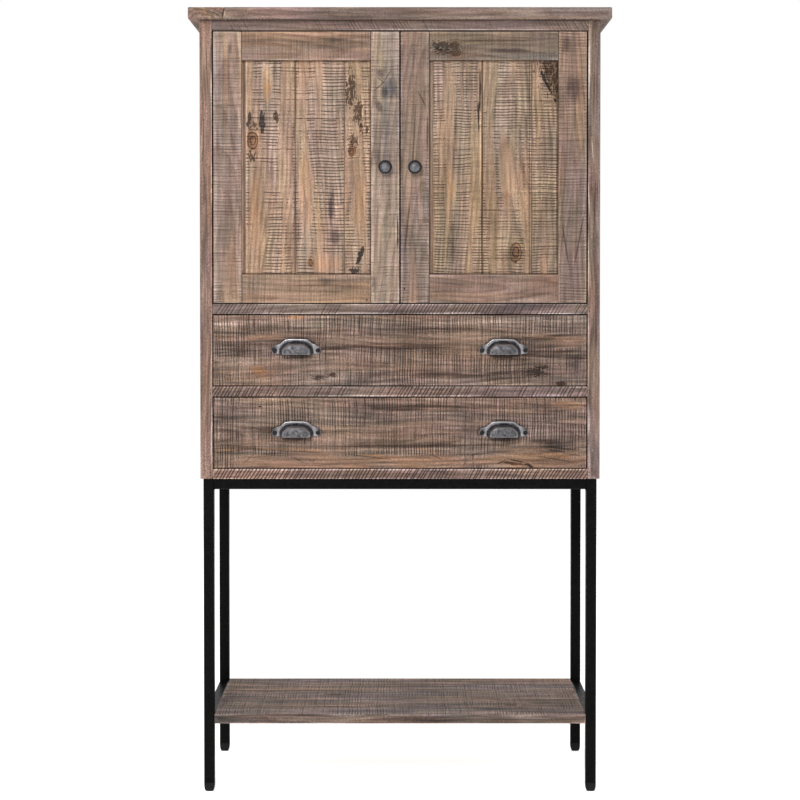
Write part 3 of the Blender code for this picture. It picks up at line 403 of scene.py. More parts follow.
    # Colour, from broad tone to fine lines
    fine = add("MULTIPLY", take["Fine"], shown)
    swings = [
        (1.0, run(field, ("SUBTRACT", 0.5), ("MULTIPLY", share), ("MULTIPLY_ADD", swing, 1.0)))
        for field, swing, share in (
            (chance, 0.1, 1.0),
            (fields["blotch"], 1.0, take["Contrast"]),
            (fields["streak"], 1.3, take["Bands"]),
            (fields["fibre"], 2.1, take["Contrast"]),
            (fields["speck"], 1.5, take["Contrast"]),
            (scratch, 1.0, fine),
        )
    ]
    hue, blush = (add("MapRange", fields[label], 0.36, 0.64) for label in ("hue", "blush"))
    hue = add("Mix", hue, (0.92, 0.96, 1.05, 1.0), (1.07, 1.02, 0.92, 1.0), data_type="RGBA")
    blush = add("Mix", blush, (0.96, 1.02, 0.965, 1.0), (1.04, 0.975, 1.03, 1.0), data_type="RGBA")
    smoke = run(fields["smoke"], ("MapRange", 0.55, 0.75), ("MULTIPLY", take["Smoke"]))
    rim = run(fields["band"], ("SUBTRACT", 0.53), ("ABSOLUTE",), ("MapRange", 0.03, 0.0))
    rim = add("MULTIPLY", rim, take["Rings"])
    tanned = run(fields["band"], ("MapRange SMOOTHSTEP", 0.5, 0.58), ("MULTIPLY", take["Late"]))
    colour = take["Tone"]
    for share, tint in (
        (take["Hue"], hue), (take["Hue"], blush), (tanned, (1.08, 1.0, 0.88, 1.0)),
        (rim, (0.6, 0.52, 0.46, 1.0)), (smoke, (0.55, 0.56, 0.6, 1.0)), *swings,
        (ringed, (0.52, 0.43, 0.36, 1.0)), (ridge_highlight, (1.25, 1.24, 1.22, 1.0)), (marks, (0.2, 0.16, 0.14, 1.0)),
        (torn, (1.42, 1.47, 1.5, 1.0)), (edge, (1.62, 1.72, 1.78, 1.0)), (joint, (0.25, 0.22, 0.2, 1.0)),
        (take["Halo"], (0.92, 0.86, 0.78, 1.0)), (take["Core"], (0.72, 0.6, 0.52, 1.0)),
        (take["Rim"], (0.26, 0.18, 0.15, 1.0)),
    ):
        colour = add("Mix MULTIPLY", share, colour, tint, data_type="RGBA")

    height = add("MULTIPLY", fields["fibre"], 0.35)
    for mask, sink in ((marks, -0.8), (ringed, -0.15), (take["Rim"], -0.5)):
        height = add("MULTIPLY_ADD", mask, sink, height)
    rough = add("MapRange", fields["fibre"], 0.3, 0.7, 0.62, 0.85)
    feed(tree, give, {"Colour": colour, "Height": height, "Roughness": rough})


# Stains, and lines of painted shade and shadow: what they leave of each colour, how ragged and soft they are,
# and their noise along and across
STAINS_AND_SHADES = {
    "bark": ((0.15, 0.15, 0.17), 0.5, 0.25, (110.0, 300.0)),
    "smoke": ((0.52, 0.54, 0.58), 0.3, 0.9, (30.0, 120.0)),
    "blue": ((0.42, 0.48, 0.58), 0.3, 0.8, (60.0, 160.0)),
    "dark": ((0.4, 0.36, 0.34), 0.5, 0.8, (14.0, 260.0)),
    "heart": ((0.3, 0.2, 0.15), 0.3, 0.5, (120.0, 200.0)),
    "resin": ((1.16, 0.98, 0.74), 0.3, 0.7, (40.0, 150.0)),
    "pale": ((1.45, 1.52, 1.56), 0.5, 0.8, (14.0, 260.0)),
    # Painted shade: dark lines in the grooves round the door panels, over the recessed tongue and between the
    # planks
    "shade": ((0.5, 0.45, 0.42), 0.1, 0.3, (10.0, 200.0)),
    "line": ((2.1, 2.4, 2.6), 0.2, 0.6, (10.0, 200.0)),
    "rub": ((1.45, 1.48, 1.5), 0.15, 0.6, (10.0, 200.0)),
    "planed": ((0.0, 0.0, 0.0), 0.35, 0.5, (16.0, 90.0)),
    "tan": ((1.12, 1.0, 0.86), 0.35, 0.7, (16.0, 90.0)),
    "haze": ((0.44, 0.43, 0.47), 0.15, 0.75, (50.0, 130.0)),
    "streak": ((0.46, 0.42, 0.41), 0.1, 0.6, (60.0, 160.0)),
    # Deep single saw cuts, and painted shade down the gaps beside and between the doors
    "cut_and_gap_shade": ((0.22, 0.19, 0.17), 0.12, 0.5, (10.0, 100.0)),
    # Grime round the pulls, and painted shadow under them
    "grime_and_shadow": ((0.36, 0.34, 0.33), 0.1, 0.3, (60.0, 160.0)),
    "husk": ((0.5, 0.46, 0.42), 0.3, 0.2, (90.0, 240.0)),
    "scale": ((0.32, 0.28, 0.25), 1.5, 0.3, (130.0, 330.0)),
    "crack": ((0.14, 0.12, 0.11), 0.4, 0.5, (50.0, 300.0)),
    "fleck": ((0.27, 0.23, 0.21), 0.85, 0.25, (150.0, 420.0)),
}
STAIN_DEPTH = 12 * MM

# How deep the pith lies under a board's show side, how far it strays across the board, and by what
# angle from one seed to the next
PITH_DEPTH = 38 * MM
PITH_STRAY = 30 * MM
PITH_TURN = 7.3


def depth_of(face):
    """Axis that a face looks along."""
    return max(range(3), key=lambda axis: abs(face[axis]))


def over_face(face, first, second, rest):
    """Rest, with other values for the two axes that lie in a face."""
    spread = Vector(rest)
    one, other = (axis for axis in range(3) if axis != depth_of(face))
    spread[one], spread[other] = first, second
    return spread


def dress(node, made):
    """Gives a CAD node its finish."""
    slots = NODES[node].data.materials
    slots.clear()
    slots.append(made)


def board(node, name, turn, tone, seed, face, knots=(), stains_and_shades=None, edge_stains=None, planed=(), **looks):
    """Finishes a CAD board in pine of its own. Face is the way its show side looks.

    A knot is its two places on that side and two radii, in millimetres. Stains and painted shade are
    lists of patches by kind, and a patch is like a knot, with a turn in degrees where it needs one.
    Edge stains lie on the front edge instead, and planed patches are places that the saw left no marks on.
    """
    made, tree, shader = new_material(name, specular_ior_level=0.25)
    low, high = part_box(node)
    middle, half = (low + high) / 2, (high - low) / 2
    along = {ALONG_X: 0, ALONG_Y: 1, ALONG_Z: 2}[turn]
    depth = depth_of(face)
    across = 3 - depth - along
    pith = middle + Vector(face) * (half[depth] - PITH_DEPTH)
    pith[across] += PITH_STRAY * math.sin(PITH_TURN * seed)

    place = put(tree, "TexCoord").outputs["Object"]
    grown = {}
    for first, second, wide, tall in knots:
        knot = put(
            tree, "Group", node_tree=bpy.data.node_groups["Knot"],
            feeds={
                "Place": place, "Centre": over_face(face, first * MM, second * MM, middle),
                "Scale": over_face(face, 1 / (wide * MM), 1 / (tall * MM), ORIGIN), **grown,
            },
        )
        grown = {label: knot.outputs[label] for label in ("Push", "Core", "Rim", "Halo")}

    def blot(under, way, kind, first, second, wide, tall, tilt=0):
        paint, ragged, soft, (down_grain, over_grain) = STAINS_AND_SHADES[kind]
        tilted, grain = Vector(), Vector((over_grain,) * 3)
        tilted[depth_of(way)] = math.radians(tilt)
        grain[along] = down_grain
        surface = middle + Vector([part * reach for part, reach in zip(way, half)])
        return put(
            tree, "Group", node_tree=bpy.data.node_groups["Stain and shade"],
            feeds={
                "Colour": under, "Place": place, "Centre": over_face(way, first * MM, second * MM, surface),
                "Turn": tilted,
                "Scale": over_face(way, 1 / (wide * MM), 1 / (tall * MM), (1 / STAIN_DEPTH,) * 3),
                "Paint": opaque(paint), "Ragged": ragged, "Soft": soft, "Grain": grain,
            },
        )

    sawn = WHITE
    for patch in planed:
        sawn = blot(sawn, face, "planed", *patch)
    pine = put(
        tree, "Group", node_tree=bpy.data.node_groups["Reclaimed pine"],
        feeds={
            "Place": place, "Turn": turn, "Seed": float(seed), "Pith": pith, "Centre": middle, "Half": half,
            "Face": [abs(part) for part in face], "Sawn": sawn if planed else 1.0, "Tone": opaque(tone),
            **grown, **{label.replace("_", " ").capitalize(): value for label, value in looks.items()},
        },
    )
    colour = pine.outputs["Colour"]
    for way, marks in ((face, {"tan": planed}), (face, stains_and_shades or {}), (FRONT, edge_stains or {})):
        for kind, patches in marks.items():
            for patch in patches:
                colour = blot(colour, way, kind, *patch)
    relief = {"Height": pine.outputs["Height"], "Strength": 0.6, "Distance": 0.7 * MM}
    bump = put(tree, "Bump", feeds=relief)
    feed(tree, shader, {"Base Color": colour, "Roughness": pine.outputs["Roughness"], "Normal": bump})
    dress(node, made)


# Marks on the boards, in millimetres: middle of the doors' height, and half lengths of marks that
# run past the ends of a board
MIDDLE = 1192
FULL = 1500
LONG = 900

SIDE_KNOTS = {
    "left": [(-60, 1210, 9, 14), (95, 862, 8, 12), (150, 1335, 6, 10)],
    "right": [(40, 1290, 9, 15), (-95, 955, 8, 12), (135, 720, 7, 11)],
}
SIDE_STAINS = {
    "left": {
        "bark": [(40, 1100, 5, 20)],
        "fleck": [(-112, 770, 13, 34)],
        "blue": [(112, 1020, 16, 60)],
        "resin": [(-20, 1310, 7, 30)],
        "crack": [(62, 690, 1.6, 60)],
    },
    "right": {
        "fleck": [(110, 1110, 14, 36)],
        "blue": [(-30, 790, 15, 58)],
        "bark": [(-70, 1180, 4, 18)],
        "resin": [(70, 900, 7, 34)],
        "crack": [(30, 1420, 1.6, 48)],
    },
}
SIDE_EDGE_STAINS = {
    "left": {
        "line": [(-357.8, 780, 2.6, 175), (-357.6, 1250, 1.3, 190)],
        "pale": [(-360, 720, 5, 90), (-359, 640, 4, 30), (-376, 1200, 3, 70)],
        "cut_and_gap_shade": [(-366, 1375, 0.8, 60, 1), (-373, 1250, 0.7, 50, -1)],
    },
    "right": {
        "line": [
            (358.0, 1375, 2.2, 75), (359.0, 1130, 1.8, 40, 2), (358.0, 890, 2.0, 45), (357.5, 712, 7, 42),
            (366, 1220, 1.6, 34, 5), (366, 655, 1.8, 3), (357.8, 1010, 1.3, 70),
        ],
        "cut_and_gap_shade": [(362, 1290, 0.8, 80), (370, 1130, 0.7, 60, -1), (372, 900, 0.7, 60, 1)],
    },
}
# Long light lines where the arrises of the strips are rubbed
STRIP_STAINS = {
    "top_rail": {"line": [(60, 1453.0, 240, 1.1)]},
    "door_floor": {
        "line": [
            (-130, 915.6, 210, 1.9), (90, 915.4, 140, 1.8), (300, 915.2, 70, 1.3), (0, 932.6, LONG, 0.9),
        ],
    },
    "drawer_divider": {
        "line": [
            (-60, 758.7, 200, 1.9), (100, 758.5, 60, 2.1), (278, 759.5, 48, 3.0), (0, 775.6, LONG, 0.9),
        ],
    },
    "bottom_panel": {"line": [(0, 618.2, FULL, 2.3), (0, 600.8, LONG, 0.9)]},
}
DOOR_KNOTS = {
    "door_panel_left": [(-280, 1244, 9, 15), (-91, 1223, 6, 9), (-170, 1012, 5, 7)],
    "door_panel_right": [(220, 1031, 10, 17)],
    "door_top_rail_right": [(104, 1424, 7, 6), (107, 1410, 8, 7)],
}
# Stains on the doors, and painted shade in the grooves round the panels, between the planks and in the gap
# where the doors meet
DOOR_STAINS_AND_SHADES = {
    "hinge_stile_left": {"smoke": [(-322, 1419, 8, 23)]},
    "meeting_stile_left": {
        "blue": [(-17, 1342, 17, 24)],
        "haze": [(-38, 1370, 10, 13), (-30, 1334, 9, 15), (-40, 1308, 9, 20, 25)],
        "streak": [(-23.5, 1366, 1.8, 18, -31), (-38, 1347, 1.8, 17, -48), (-36, 1357, 1.4, 14, 50)],
        "crack": [(-5, 1069, 2, 50)],
        "smoke": [(-49, 974, 6, 22)],
        # Painted shade on the edge where the doors meet, down the gap between them
        "cut_and_gap_shade": [(-0.9, MIDDLE, 0.9, FULL)],
    },
    "door_top_rail_left": {"smoke": [(-130, 1434, 42, 6)]},
    "door_bottom_rail_left": {"smoke": [(-139, 978, 20, 15)], "crack": [(-63, 941, 2, 2)]},
    "hinge_stile_right": {
        "haze": [(331, 1345, 21, 34), (314, 1424, 13, 26)],
        "streak": [(314.5, 1045, 2.2, 62, 9), (340.5, 1056, 2.2, 74, -11)],
    },
    "meeting_stile_right": {
        "streak": [
            (26, 1236, 2.4, 104, -3), (14, 1080, 2.4, 64, -6), (41.5, 1322, 2.2, 23, 27),
            (52, 1257, 2.2, 50),
        ],
        "crack": [(8, 962, 2.5, 2.5)],
        # Painted shade on the edge where the doors meet, down the gap between them
        "cut_and_gap_shade": [(0.9, MIDDLE, 0.9, FULL)],
    },
    "door_top_rail_right": {
        "fleck": [(78, 1423, 19, 8), (80, 1412, 19, 6)],
        "streak": [(180, 1432, 90, 3)],
        "haze": [(210, 1413, 60, 7)],
    },
    "door_panel_left": {
        "shade": [
            (-296.2, MIDDLE, 2.4, FULL), (-197, 1393, LONG, 2.2), (-197, 990.5, LONG, 2.2),
            (-56, MIDDLE, 2.2, FULL), (-198, MIDDLE, 1.4, LONG),
        ],
        "rub": [(-291, MIDDLE, 1.6, LONG)],
        "bark": [
            (-262, 1278, 6.5, 22, 4), (-287, 1281, 4.5, 16, -6), (-75, 1027, 5, 19, -20),
            (-87, 997, 10, 7),
        ],
        "fleck": [
            (-276, 1272, 6, 9), (-280, 1212, 8, 9), (-235, 1285, 5, 12), (-92, 1340, 9, 30),
            (-80, 1296, 10, 22), (-73, 1270, 4, 13), (-62, 1263, 3, 10), (-88, 1244, 9, 11),
        ],
        "resin": [(-253, 1337, 8, 27)],
        "haze": [(-124, 1062, 15, 22), (-132, 1115, 7, 40)],
        "smoke": [(-130, 1120, 7, 65)],
    },
    "door_panel_right": {
        "husk": [(299, 1364, 24, 60, 26)],
        "scale": [(299, 1366, 22, 54, 26)],
        "bark": [(278, 1352, 3, 36, 27)],
        "shade": [
            (155.6, MIDDLE, 2.0, LONG), (178, 1393, LONG, 2.2), (178, 990.5, LONG, 2.2),
            (56.5, MIDDLE, 2.2, FULL), (298.5, MIDDLE, 2.2, FULL), (245.6, MIDDLE, 1.1, LONG),
        ],
        "rub": [(152.4, MIDDLE, 1.5, 700)],
        "crack": [(152, 1335, 2, 53), (149, 1291, 3, 28)],
        "smoke": [(99, 1044, 12, 57)],
    },
}
DOOR_PLANED = {
    "left": [
        (-252, 1352, 11, 46), (-274, 1118, 17, 84), (-175, 1150, 15, 130), (-79, 1120, 17, 90),
        (-135, 1010, 40, 22),
    ],
    "right": [(95, 1153, 12, 64), (208, 1182, 28, 95)],
}
DRAWER_STAINS = {
    "upper": {
        "fleck": [(-152, 793, 16, 5), (258, 803, 22, 8), (270, 813, 12, 4)],
        "resin": [(-270, 807, 19, 12), (-198, 908, 24, 5)],
        "heart": [(-129, 798, 9, 6), (306, 782, 12, 5)],
        "pale": [
            (-115, 788, 130, 8), (-150, 896, 200, 18), (190, 901, 200, 12), (-325, 893, 34, 14),
            (322, 862, 34, 5),
        ],
        "dark": [
            (110, 886, 180, 4), (240, 868, 110, 5, 3), (-170, 840, 90, 3), (290, 836, 90, 18),
            (-50, 850, 170, 10), (-300, 842, 60, 12), (60, 800, 150, 8),
        ],
        "smoke": [(333, 816, 18, 28)],
        "cut_and_gap_shade": [
            (-212, 893, 1.1, 20), (-305, 894, 1.0, 17), (-278, 897, 1.0, 14), (-78, 893, 1.0, 20),
            (-155, 847, 16, 1.0, 4),
        ],
    },
    "lower": {
        "dark": [
            (-299, 661, 62, 8), (276, 671, 42, 6), (20, 736, 130, 9), (300, 659, 60, 3, -6),
            (305, 652, 52, 2.4, -12), (-230, 692, 120, 9), (0, 664, 190, 6),
        ],
        "smoke": [(297, 662, 48, 15)],
        "crack": [(-267, 738, 3.5, 2.5), (246, 625.5, 11, 3.6, -24)],
        "pale": [(30, 727, 120, 4), (-260, 652, 80, 5), (120, 655, 90, 6, -4), (205, 645, 34, 3, -6)],
        "resin": [
            (-322, 656, 40, 2.6, 5), (-205, 656, 90, 2.4, -2), (-60, 646, 76, 2.4, -7),
            (55, 654, 42, 2.2, -12), (300, 645, 60, 3, -14),
        ],
        "cut_and_gap_shade": [(193, 632.5, 13, 1.6, 25), (221, 635, 19, 1.8, -10)],
        "heart": [(218, 629, 26, 4, -8)],
        "streak": [
            (300, 637, 50, 1.6, -10), (-322, 652.6, 42, 1.4, 5), (-205, 652.6, 92, 1.3, -2),
            (-60, 642.4, 78, 1.3, -7), (-290, 637, 18, 1.1, 40), (-247, 648, 30, 1.1),
            (-195, 637, 28, 1.1, -27), (30, 649, 32, 1.3, -2), (68, 643, 18, 1.3, -25),
            (124, 633, 13, 1.3, 68), (142, 647, 16, 1.3, 24),
        ],
    },
}
DRAWER_PLANED = {
    "upper": [(301, 864, 60, 16), (-266, 801, 26, 16), (-250, 868, 60, 9)],
    "lower": [(-156, 626, 230, 30), (247, 634, 125, 36), (314, 741, 48, 9), (40, 628, 130, 24)],
}

# Ovals of grime and painted shadow about a pull, in millimetres: height above its foot and two radii
GRIME_AND_SHADOW = ((12.5, 44, 24), (8, 56, 12))

# Looks that boards share
PLANED = {"saw": 0.0, "hue": 0.4, "fine": 0.0, "smoke": 0.2}
PLYWOOD = {"saw": 0.0, "contrast": 0.3, "hue": 0.3, "bands": 0.5, "fine": 0.0, "smoke": 0.15}

# Widths of glued or tongued boards, and where their first joint lies
SLAB_STAVE = 100 * MM
SIDE_STAVE = 95 * MM
PLANK = 94 * MM
PLANK_JOINT = 16.3 * MM
SHELF_BOARD = 74.32 * MM
SHELF_JOINT = -0.8 * MM
INNER_STAVE = 83 * MM


class BUFFET_OT_carcass(bpy.types.Operator):
    """Finish the slab, the sides and the boards between them"""

    bl_idname = "buffet.carcass"
    bl_label = "Carcass"

    def execute(self, context):
        wood = context.scene.buffet_wood
        board(
            "top_slab", "sawn pine slab", ALONG_X, wood.brown, 11, TOP,
            knots=[(120, 40, 15, 10), (-150, -95, 12, 8), (295, 130, 10, 7)],
            stains_and_shades={
                "blue": [(30, -130, 90, 14)],
                "crack": [(330, -62, 62, 1.6)],
                "fleck": [(-60, 112, 34, 13)],
                "dark": [(210, -20, 140, 9)],
                "resin": [(-210, 60, 40, 7)],
            },
            stave_axis=OVER, stave_width=SLAB_STAVE, stave_start=-0.25, joint=0.6, saw=0.7, saw_pitch=0.0062,
            saw_cover=0.02, dash=0.05, fine=0.8, bands=1.3, wear=1.0,
        )
        board(
            "top_end_board", "sawn pine end board", ALONG_Y, wood.umber, 12, TOP,
            edge_stains={"cut_and_gap_shade": [(-333.5, 1481.8, 1.7, 14, -13)], "smoke": [(-322, 1482, 7, 9)]},
            saw=0.5, saw_pitch=0.0062, fine=0.6, rings=0.8, wear=0.8,
        )
        for side, face, tone, seed in (("left", LEFT, wood.russet, 21), ("right", RIGHT, wood.smoked_and_shaded, 25)):
            board(
                f"side_panel_{side}", f"sawn pine {side} side", ALONG_Z, tone, seed, face,
                knots=SIDE_KNOTS[side], stains_and_shades=SIDE_STAINS[side], edge_stains=SIDE_EDGE_STAINS[side],
                stave_axis=OVER, stave_width=SIDE_STAVE, stave_start=-0.2, joint=0.8,
                saw=0.75, saw_pitch=0.006, saw_cover=0.06, dash=0.05, contrast=1.3, hue=0.7, bands=1.2,
                fine=0.7, wear=1.0,
            )
        for node, tone, seed, slant, saw, cover in (
            ("top_rail", wood.smoked_and_shaded, 31, 0.6, 0.5, -0.06),
            ("door_floor", wood.smoked_and_shaded, 32, -0.6, 0.65, 0.14),
            ("drawer_divider", wood.brown, 36, -0.6, 0.8, 0.18),
            ("bottom_panel", wood.russet, 34, -0.6, 0.85, 0.3),
        ):
            board(
                node, f"sawn pine {node.replace('_', ' ')}", ALONG_X, tone, seed, FRONT,
                stains_and_shades=STRIP_STAINS[node], saw=saw, saw_pitch=0.0066, saw_slant=slant, saw_cover=cover,
                saw_width=0.22, dash=0.3, contrast=0.9, hue=0.6, bands=1.4, late=0.0, fine=0.7, wear=0.5,
            )
        return {"FINISHED"}


class BUFFET_OT_doors(bpy.types.Operator):
    """Finish the stiles, rails and planks of both doors"""

    bl_idname = "buffet.doors"
    bl_label = "Doors"

    def execute(self, context):
        wood = context.scene.buffet_wood
        tones = {
            "hinge_stile_left": wood.dove, "meeting_stile_left": wood.ashen, "door_top_rail_left": wood.drab,
            "door_bottom_rail_left": wood.honey, "hinge_stile_right": wood.drab,
            "meeting_stile_right": wood.slate, "door_top_rail_right": wood.moss,
            "door_bottom_rail_right": wood.drab,
        }
        seed = 40
        for side, inner, outer, tone, pitch in (
            ("left", 1, 0, wood.left_planks, 0.0059), ("right", 0, 1, wood.right_planks, 0.0054),
        ):
            # Dark lines where a rail meets the stiles, and painted shade down the gap beside the door
            hinge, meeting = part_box(f"hinge_stile_{side}"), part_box(f"meeting_stile_{side}")
            joints = (hinge[inner].x, meeting[outer].x)
            for stem, turn, saw, lines in (
                ("hinge_stile", ALONG_Z, 0.5, (hinge[outer].x,)),
                ("meeting_stile", ALONG_Z, 0.5, ()),
                ("door_top_rail", ALONG_X, 0.3, joints),
                ("door_bottom_rail", ALONG_X, 0.25, joints),
            ):
                seed += 3
                node = f"{stem}_{side}"
                stains_and_shades = dict(DOOR_STAINS_AND_SHADES.get(node, {}))
                stains_and_shades["cut_and_gap_shade"] = [*stains_and_shades.get("cut_and_gap_shade", ()), *((x / MM, MIDDLE, 1.4, FULL) for x in lines)]
                board(
                    node, f"sawn pine {node.replace('_', ' ')}", turn, tones[node], seed, FRONT,
                    knots=DOOR_KNOTS.get(node, ()), stains_and_shades=stains_and_shades, saw=saw, saw_pitch=0.0056, saw_cover=0.13,
                    dash=0.03, contrast=0.72, hue=0.8, bands=0.4, smoke=0.7, fine=1.1, rings=0.5, wear=0.7,
                )
            node = f"door_panel_{side}"
            # Local up is -X after the turn, so the planks are counted from the right
            board(
                node, f"sawn pine planks {side}", ALONG_Z, tone, seed + 7, FRONT,
                knots=DOOR_KNOTS[node], stains_and_shades=DOOR_STAINS_AND_SHADES[node], planed=DOOR_PLANED[side],
                stave_axis=UP, stave_width=PLANK, stave_start=-(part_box(node)[0].x + PLANK_JOINT),
                saw=0.95, saw_width=0.15, saw_pitch=pitch, saw_cover=0.32, saw_sides=0.15, dash=0.035,
                contrast=0.85, hue=0.75, bands=0.5, smoke=0.7, fine=0.8, rings=0.45, wear=0.0,
            )
        return {"FINISHED"}


class BUFFET_OT_drawers(bpy.types.Operator):
    """Finish the fronts and boxes of both drawers and the runners that carry them"""

    bl_idname = "buffet.drawers"
    bl_label = "Drawers"

    def execute(self, context):
        wood = context.scene.buffet_wood
        for level, seed in (("upper", 71), ("lower", 77)):
            # Grime that hands and polish left on the wood round each pull, with painted shadow under it
            grime_and_shadow = []
            for side in SIDES:
                low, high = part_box(f"{level}_pull_{side}")
                x, z = (low.x + high.x) / 2 / MM, low.z / MM
                grime_and_shadow += [(x, z + height, wide, tall) for height, wide, tall in GRIME_AND_SHADOW]
            board(
                f"{level}_drawer_front", f"sawn pine {level} drawer", ALONG_X, wood.umber, seed, FRONT,
                stains_and_shades={**DRAWER_STAINS[level], "grime_and_shadow": grime_and_shadow}, planed=DRAWER_PLANED[level],
                saw=0.9, saw_pitch=0.0052, saw_cover=0.2, dash=0.05, contrast=1.15, hue=0.7, fine=1.7,
                bands=0.85, rings=0.5, late=0.5, wear=0.4,
            )
            for stem, turn, face, shift in (
                ("side_left", ALONG_Y, RIGHT, 1),
                ("side_right", ALONG_Y, RIGHT, 2),
                ("back", ALONG_X, FRONT, 3),
            ):
                board(
                    f"{level}_drawer_{stem}", f"planed pine {level} {stem}", turn, wood.inside, seed + shift,
                    face, contrast=0.45, rings=0.45, wear=0.1, **PLANED,
                )
            board(
                f"{level}_drawer_bottom", f"pine plywood {level} drawer", ALONG_X, wood.plywood, seed + 4,
                TOP, rings=0.5, ring_pitch=0.012, wear=0.0, **PLYWOOD,
            )
            for side in SIDES:
                board(
                    f"{level}_runner_{side}", f"planed pine {level} runner {side}", ALONG_Y, wood.inside,
                    seed + 5, TOP, contrast=0.45, rings=0.4, wear=0.2, **PLANED,
                )
        return {"FINISHED"}


class BUFFET_OT_shelves(bpy.types.Operator):
    """Finish the lower shelf, the shelf behind the doors and the back panel"""

    bl_idname = "buffet.shelves"
    bl_label = "Shelves and back"

    def execute(self, context):
        wood = context.scene.buffet_wood
        board(
            "lower_shelf", "sawn pine shelf boards", ALONG_X, wood.slate, 91, TOP,
            knots=[(-130, 20, 14, 9), (215, -85, 12, 8)],
            stains_and_shades={"dark": [(60, 110, 120, 9)], "blue": [(-250, -60, 60, 14)]},
            stave_axis=OVER, stave_width=SHELF_BOARD, stave_start=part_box("lower_shelf")[0].y + SHELF_JOINT,
            joint=0.7, saw=0.8, saw_pitch=0.0055, saw_cover=0.06, dash=0.05, contrast=1.5, bands=2.0,
            fine=1.0, wear=1.0,
        )
        board(
            "inner_shelf", "planed pine inner shelf", ALONG_X, wood.inside, 95, TOP,
            stave_axis=OVER, stave_width=INNER_STAVE, stave_start=-0.1366, joint=0.4,
            contrast=0.5, rings=0.45, wear=0.2, **PLANED,
        )
        board(
            "back_panel", "pine plywood back", ALONG_Z, wood.plywood, 97, BACK,
            rings=0.6, ring_pitch=0.014, wear=0.1, **PLYWOOD,
        )
        return {"FINISHED"}


# Modelling helpers

def begin(shape, **settings):
    """A primitive that alone is selected, with its size and place in its mesh."""
    bpy.ops.object.select_all(action="DESELECT")
    getattr(bpy.ops.mesh, f"primitive_{shape}_add")(**settings)
    bpy.ops.object.transform_apply(location=True, rotation=True, scale=True)
    return bpy.context.object


def block(place, size):
    """A box to work on, from its middle and its size in millimetres."""
    return begin("cube", size=1.0, location=Vector(place) * MM, scale=Vector(size) * MM)


def choose(piece, kind, passes):
    """Selects the faces or edges whose points pass, in edit mode, and nothing else."""
    bpy.ops.mesh.select_mode(type=kind)
    bpy.ops.mesh.select_all(action="DESELECT")
    work = bmesh.from_edit_mesh(piece.data)
    for part in work.faces if kind == "FACE" else work.edges:
        part.select_set(passes([vert.co for vert in part.verts]))
    bmesh.update_edit_mesh(piece.data)


def in_front_of(y):
    """Test for choose: all points lie nearer than y."""
    return lambda points: all(point.y < y for point in points)


def runs_back(ends):
    """Test of an edge: it runs from front to back."""
    return abs(ends[0].y - ends[1].y) > 0.5 * MM


def draw_out(steps):
    """Extrudes the chosen front face. A step is its width, its height and its distance forward."""
    for before, after in zip(steps, steps[1:]):
        bpy.ops.mesh.extrude_region_move(
            TRANSFORM_OT_translate={"value": (0.0, (before[2] - after[2]) * MM, 0.0)}
        )
        bpy.ops.transform.resize(
            value=(after[0] / before[0], 1.0, after[1] / before[1]), center_override=ORIGIN
        )


def turned(vertices, radius, profile):
    """Turned form with its back at the origin and its top towards -Y.

    The profile starts at the disc that is drawn out. It gives widths in any one unit, and distances
    forward in millimetres.
    """
    depth = profile[0][1] * MM
    piece = begin(
        "cylinder", vertices=vertices, radius=radius, depth=depth, location=(0.0, -depth / 2, 0.0),
        rotation=(math.pi / 2, 0.0, 0.0),
    )
    bpy.ops.object.mode_set(mode="EDIT")
    choose(piece, "FACE", in_front_of(-depth / 2))
    draw_out([(width, width, forward) for width, forward in profile])
    bpy.ops.object.mode_set(mode="OBJECT")
    return piece


def finish_with(piece, kind, **settings):
    """Adds a modifier and applies it."""
    modifier = piece.modifiers.new(kind.title(), kind)
    for name, value in settings.items():
        setattr(modifier, name, value)
    bpy.context.view_layer.objects.active = piece
    bpy.ops.object.modifier_apply(modifier=modifier.name)


def join(pieces):
    """Makes several objects one."""
    bpy.ops.object.select_all(action="DESELECT")
    for piece in pieces:
        piece.select_set(True)
    bpy.context.view_layer.objects.active = pieces[0]
    bpy.ops.object.join()
    return pieces[0]


def shade(piece, degrees):
    """Smooths the faces that meet at less than an angle."""
    bpy.ops.object.select_all(action="DESELECT")
    piece.select_set(True)
    bpy.context.view_layer.objects.active = piece
    bpy.ops.object.shade_smooth_by_angle(angle=math.radians(degrees))


# Radius of a bend that is rubbed quite bright
SHARP = 1.6 * MM


def mark_wear_and_light(piece, wear_and_light):
    """Keeps how bright each point of a casting is rubbed (1) or how dark its patina is (-1).

    Sharp edges are bright and hollows dark. The given function adds to that what hands reach at a point, and
    painted highlights and painted shade, so that 1 and -1 also stand for lit and shaded.
    """
    work = bmesh.new()
    work.from_mesh(piece.data)
    layer = work.verts.layers.float.new("wear")
    for vert in work.verts:
        bends = []
        for edge in vert.link_edges:
            way = edge.other_vert(vert).co - vert.co
            if way.length > 1e-7:
                bends.append(-2 * way.normalized().dot(vert.normal) / way.length)
        bend = sum(bends) / max(len(bends), 1)
        vert[layer] = max(-1.0, min(1.0, bend * SHARP + wear_and_light(vert.co)))
    work.to_mesh(piece.data)
    work.free()


def place_copies(model, places, stem):
    """One copy at each place, each with its own mesh, instead of the model.

    A place is a point, or a matrix that also turns the copy.
    """
    copies = {}
    for name, place in places.items():
        copied = model.copy()
        copied.data = model.data.copy()
        copied.name = copied.data.name = f"{name}_{stem}"
        copied.data.transform(place if isinstance(place, Matrix) else Matrix.Translation(place))
        bpy.context.collection.objects.link(copied)
        copies[name] = copied
    bpy.data.objects.remove(model)
    return copies


def give(piece, made, slot, body):
    """Finish and body of a new piece. Its slot is not used."""
    piece.data.materials.clear()
    piece.data.materials.append(made)
    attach(piece, body)


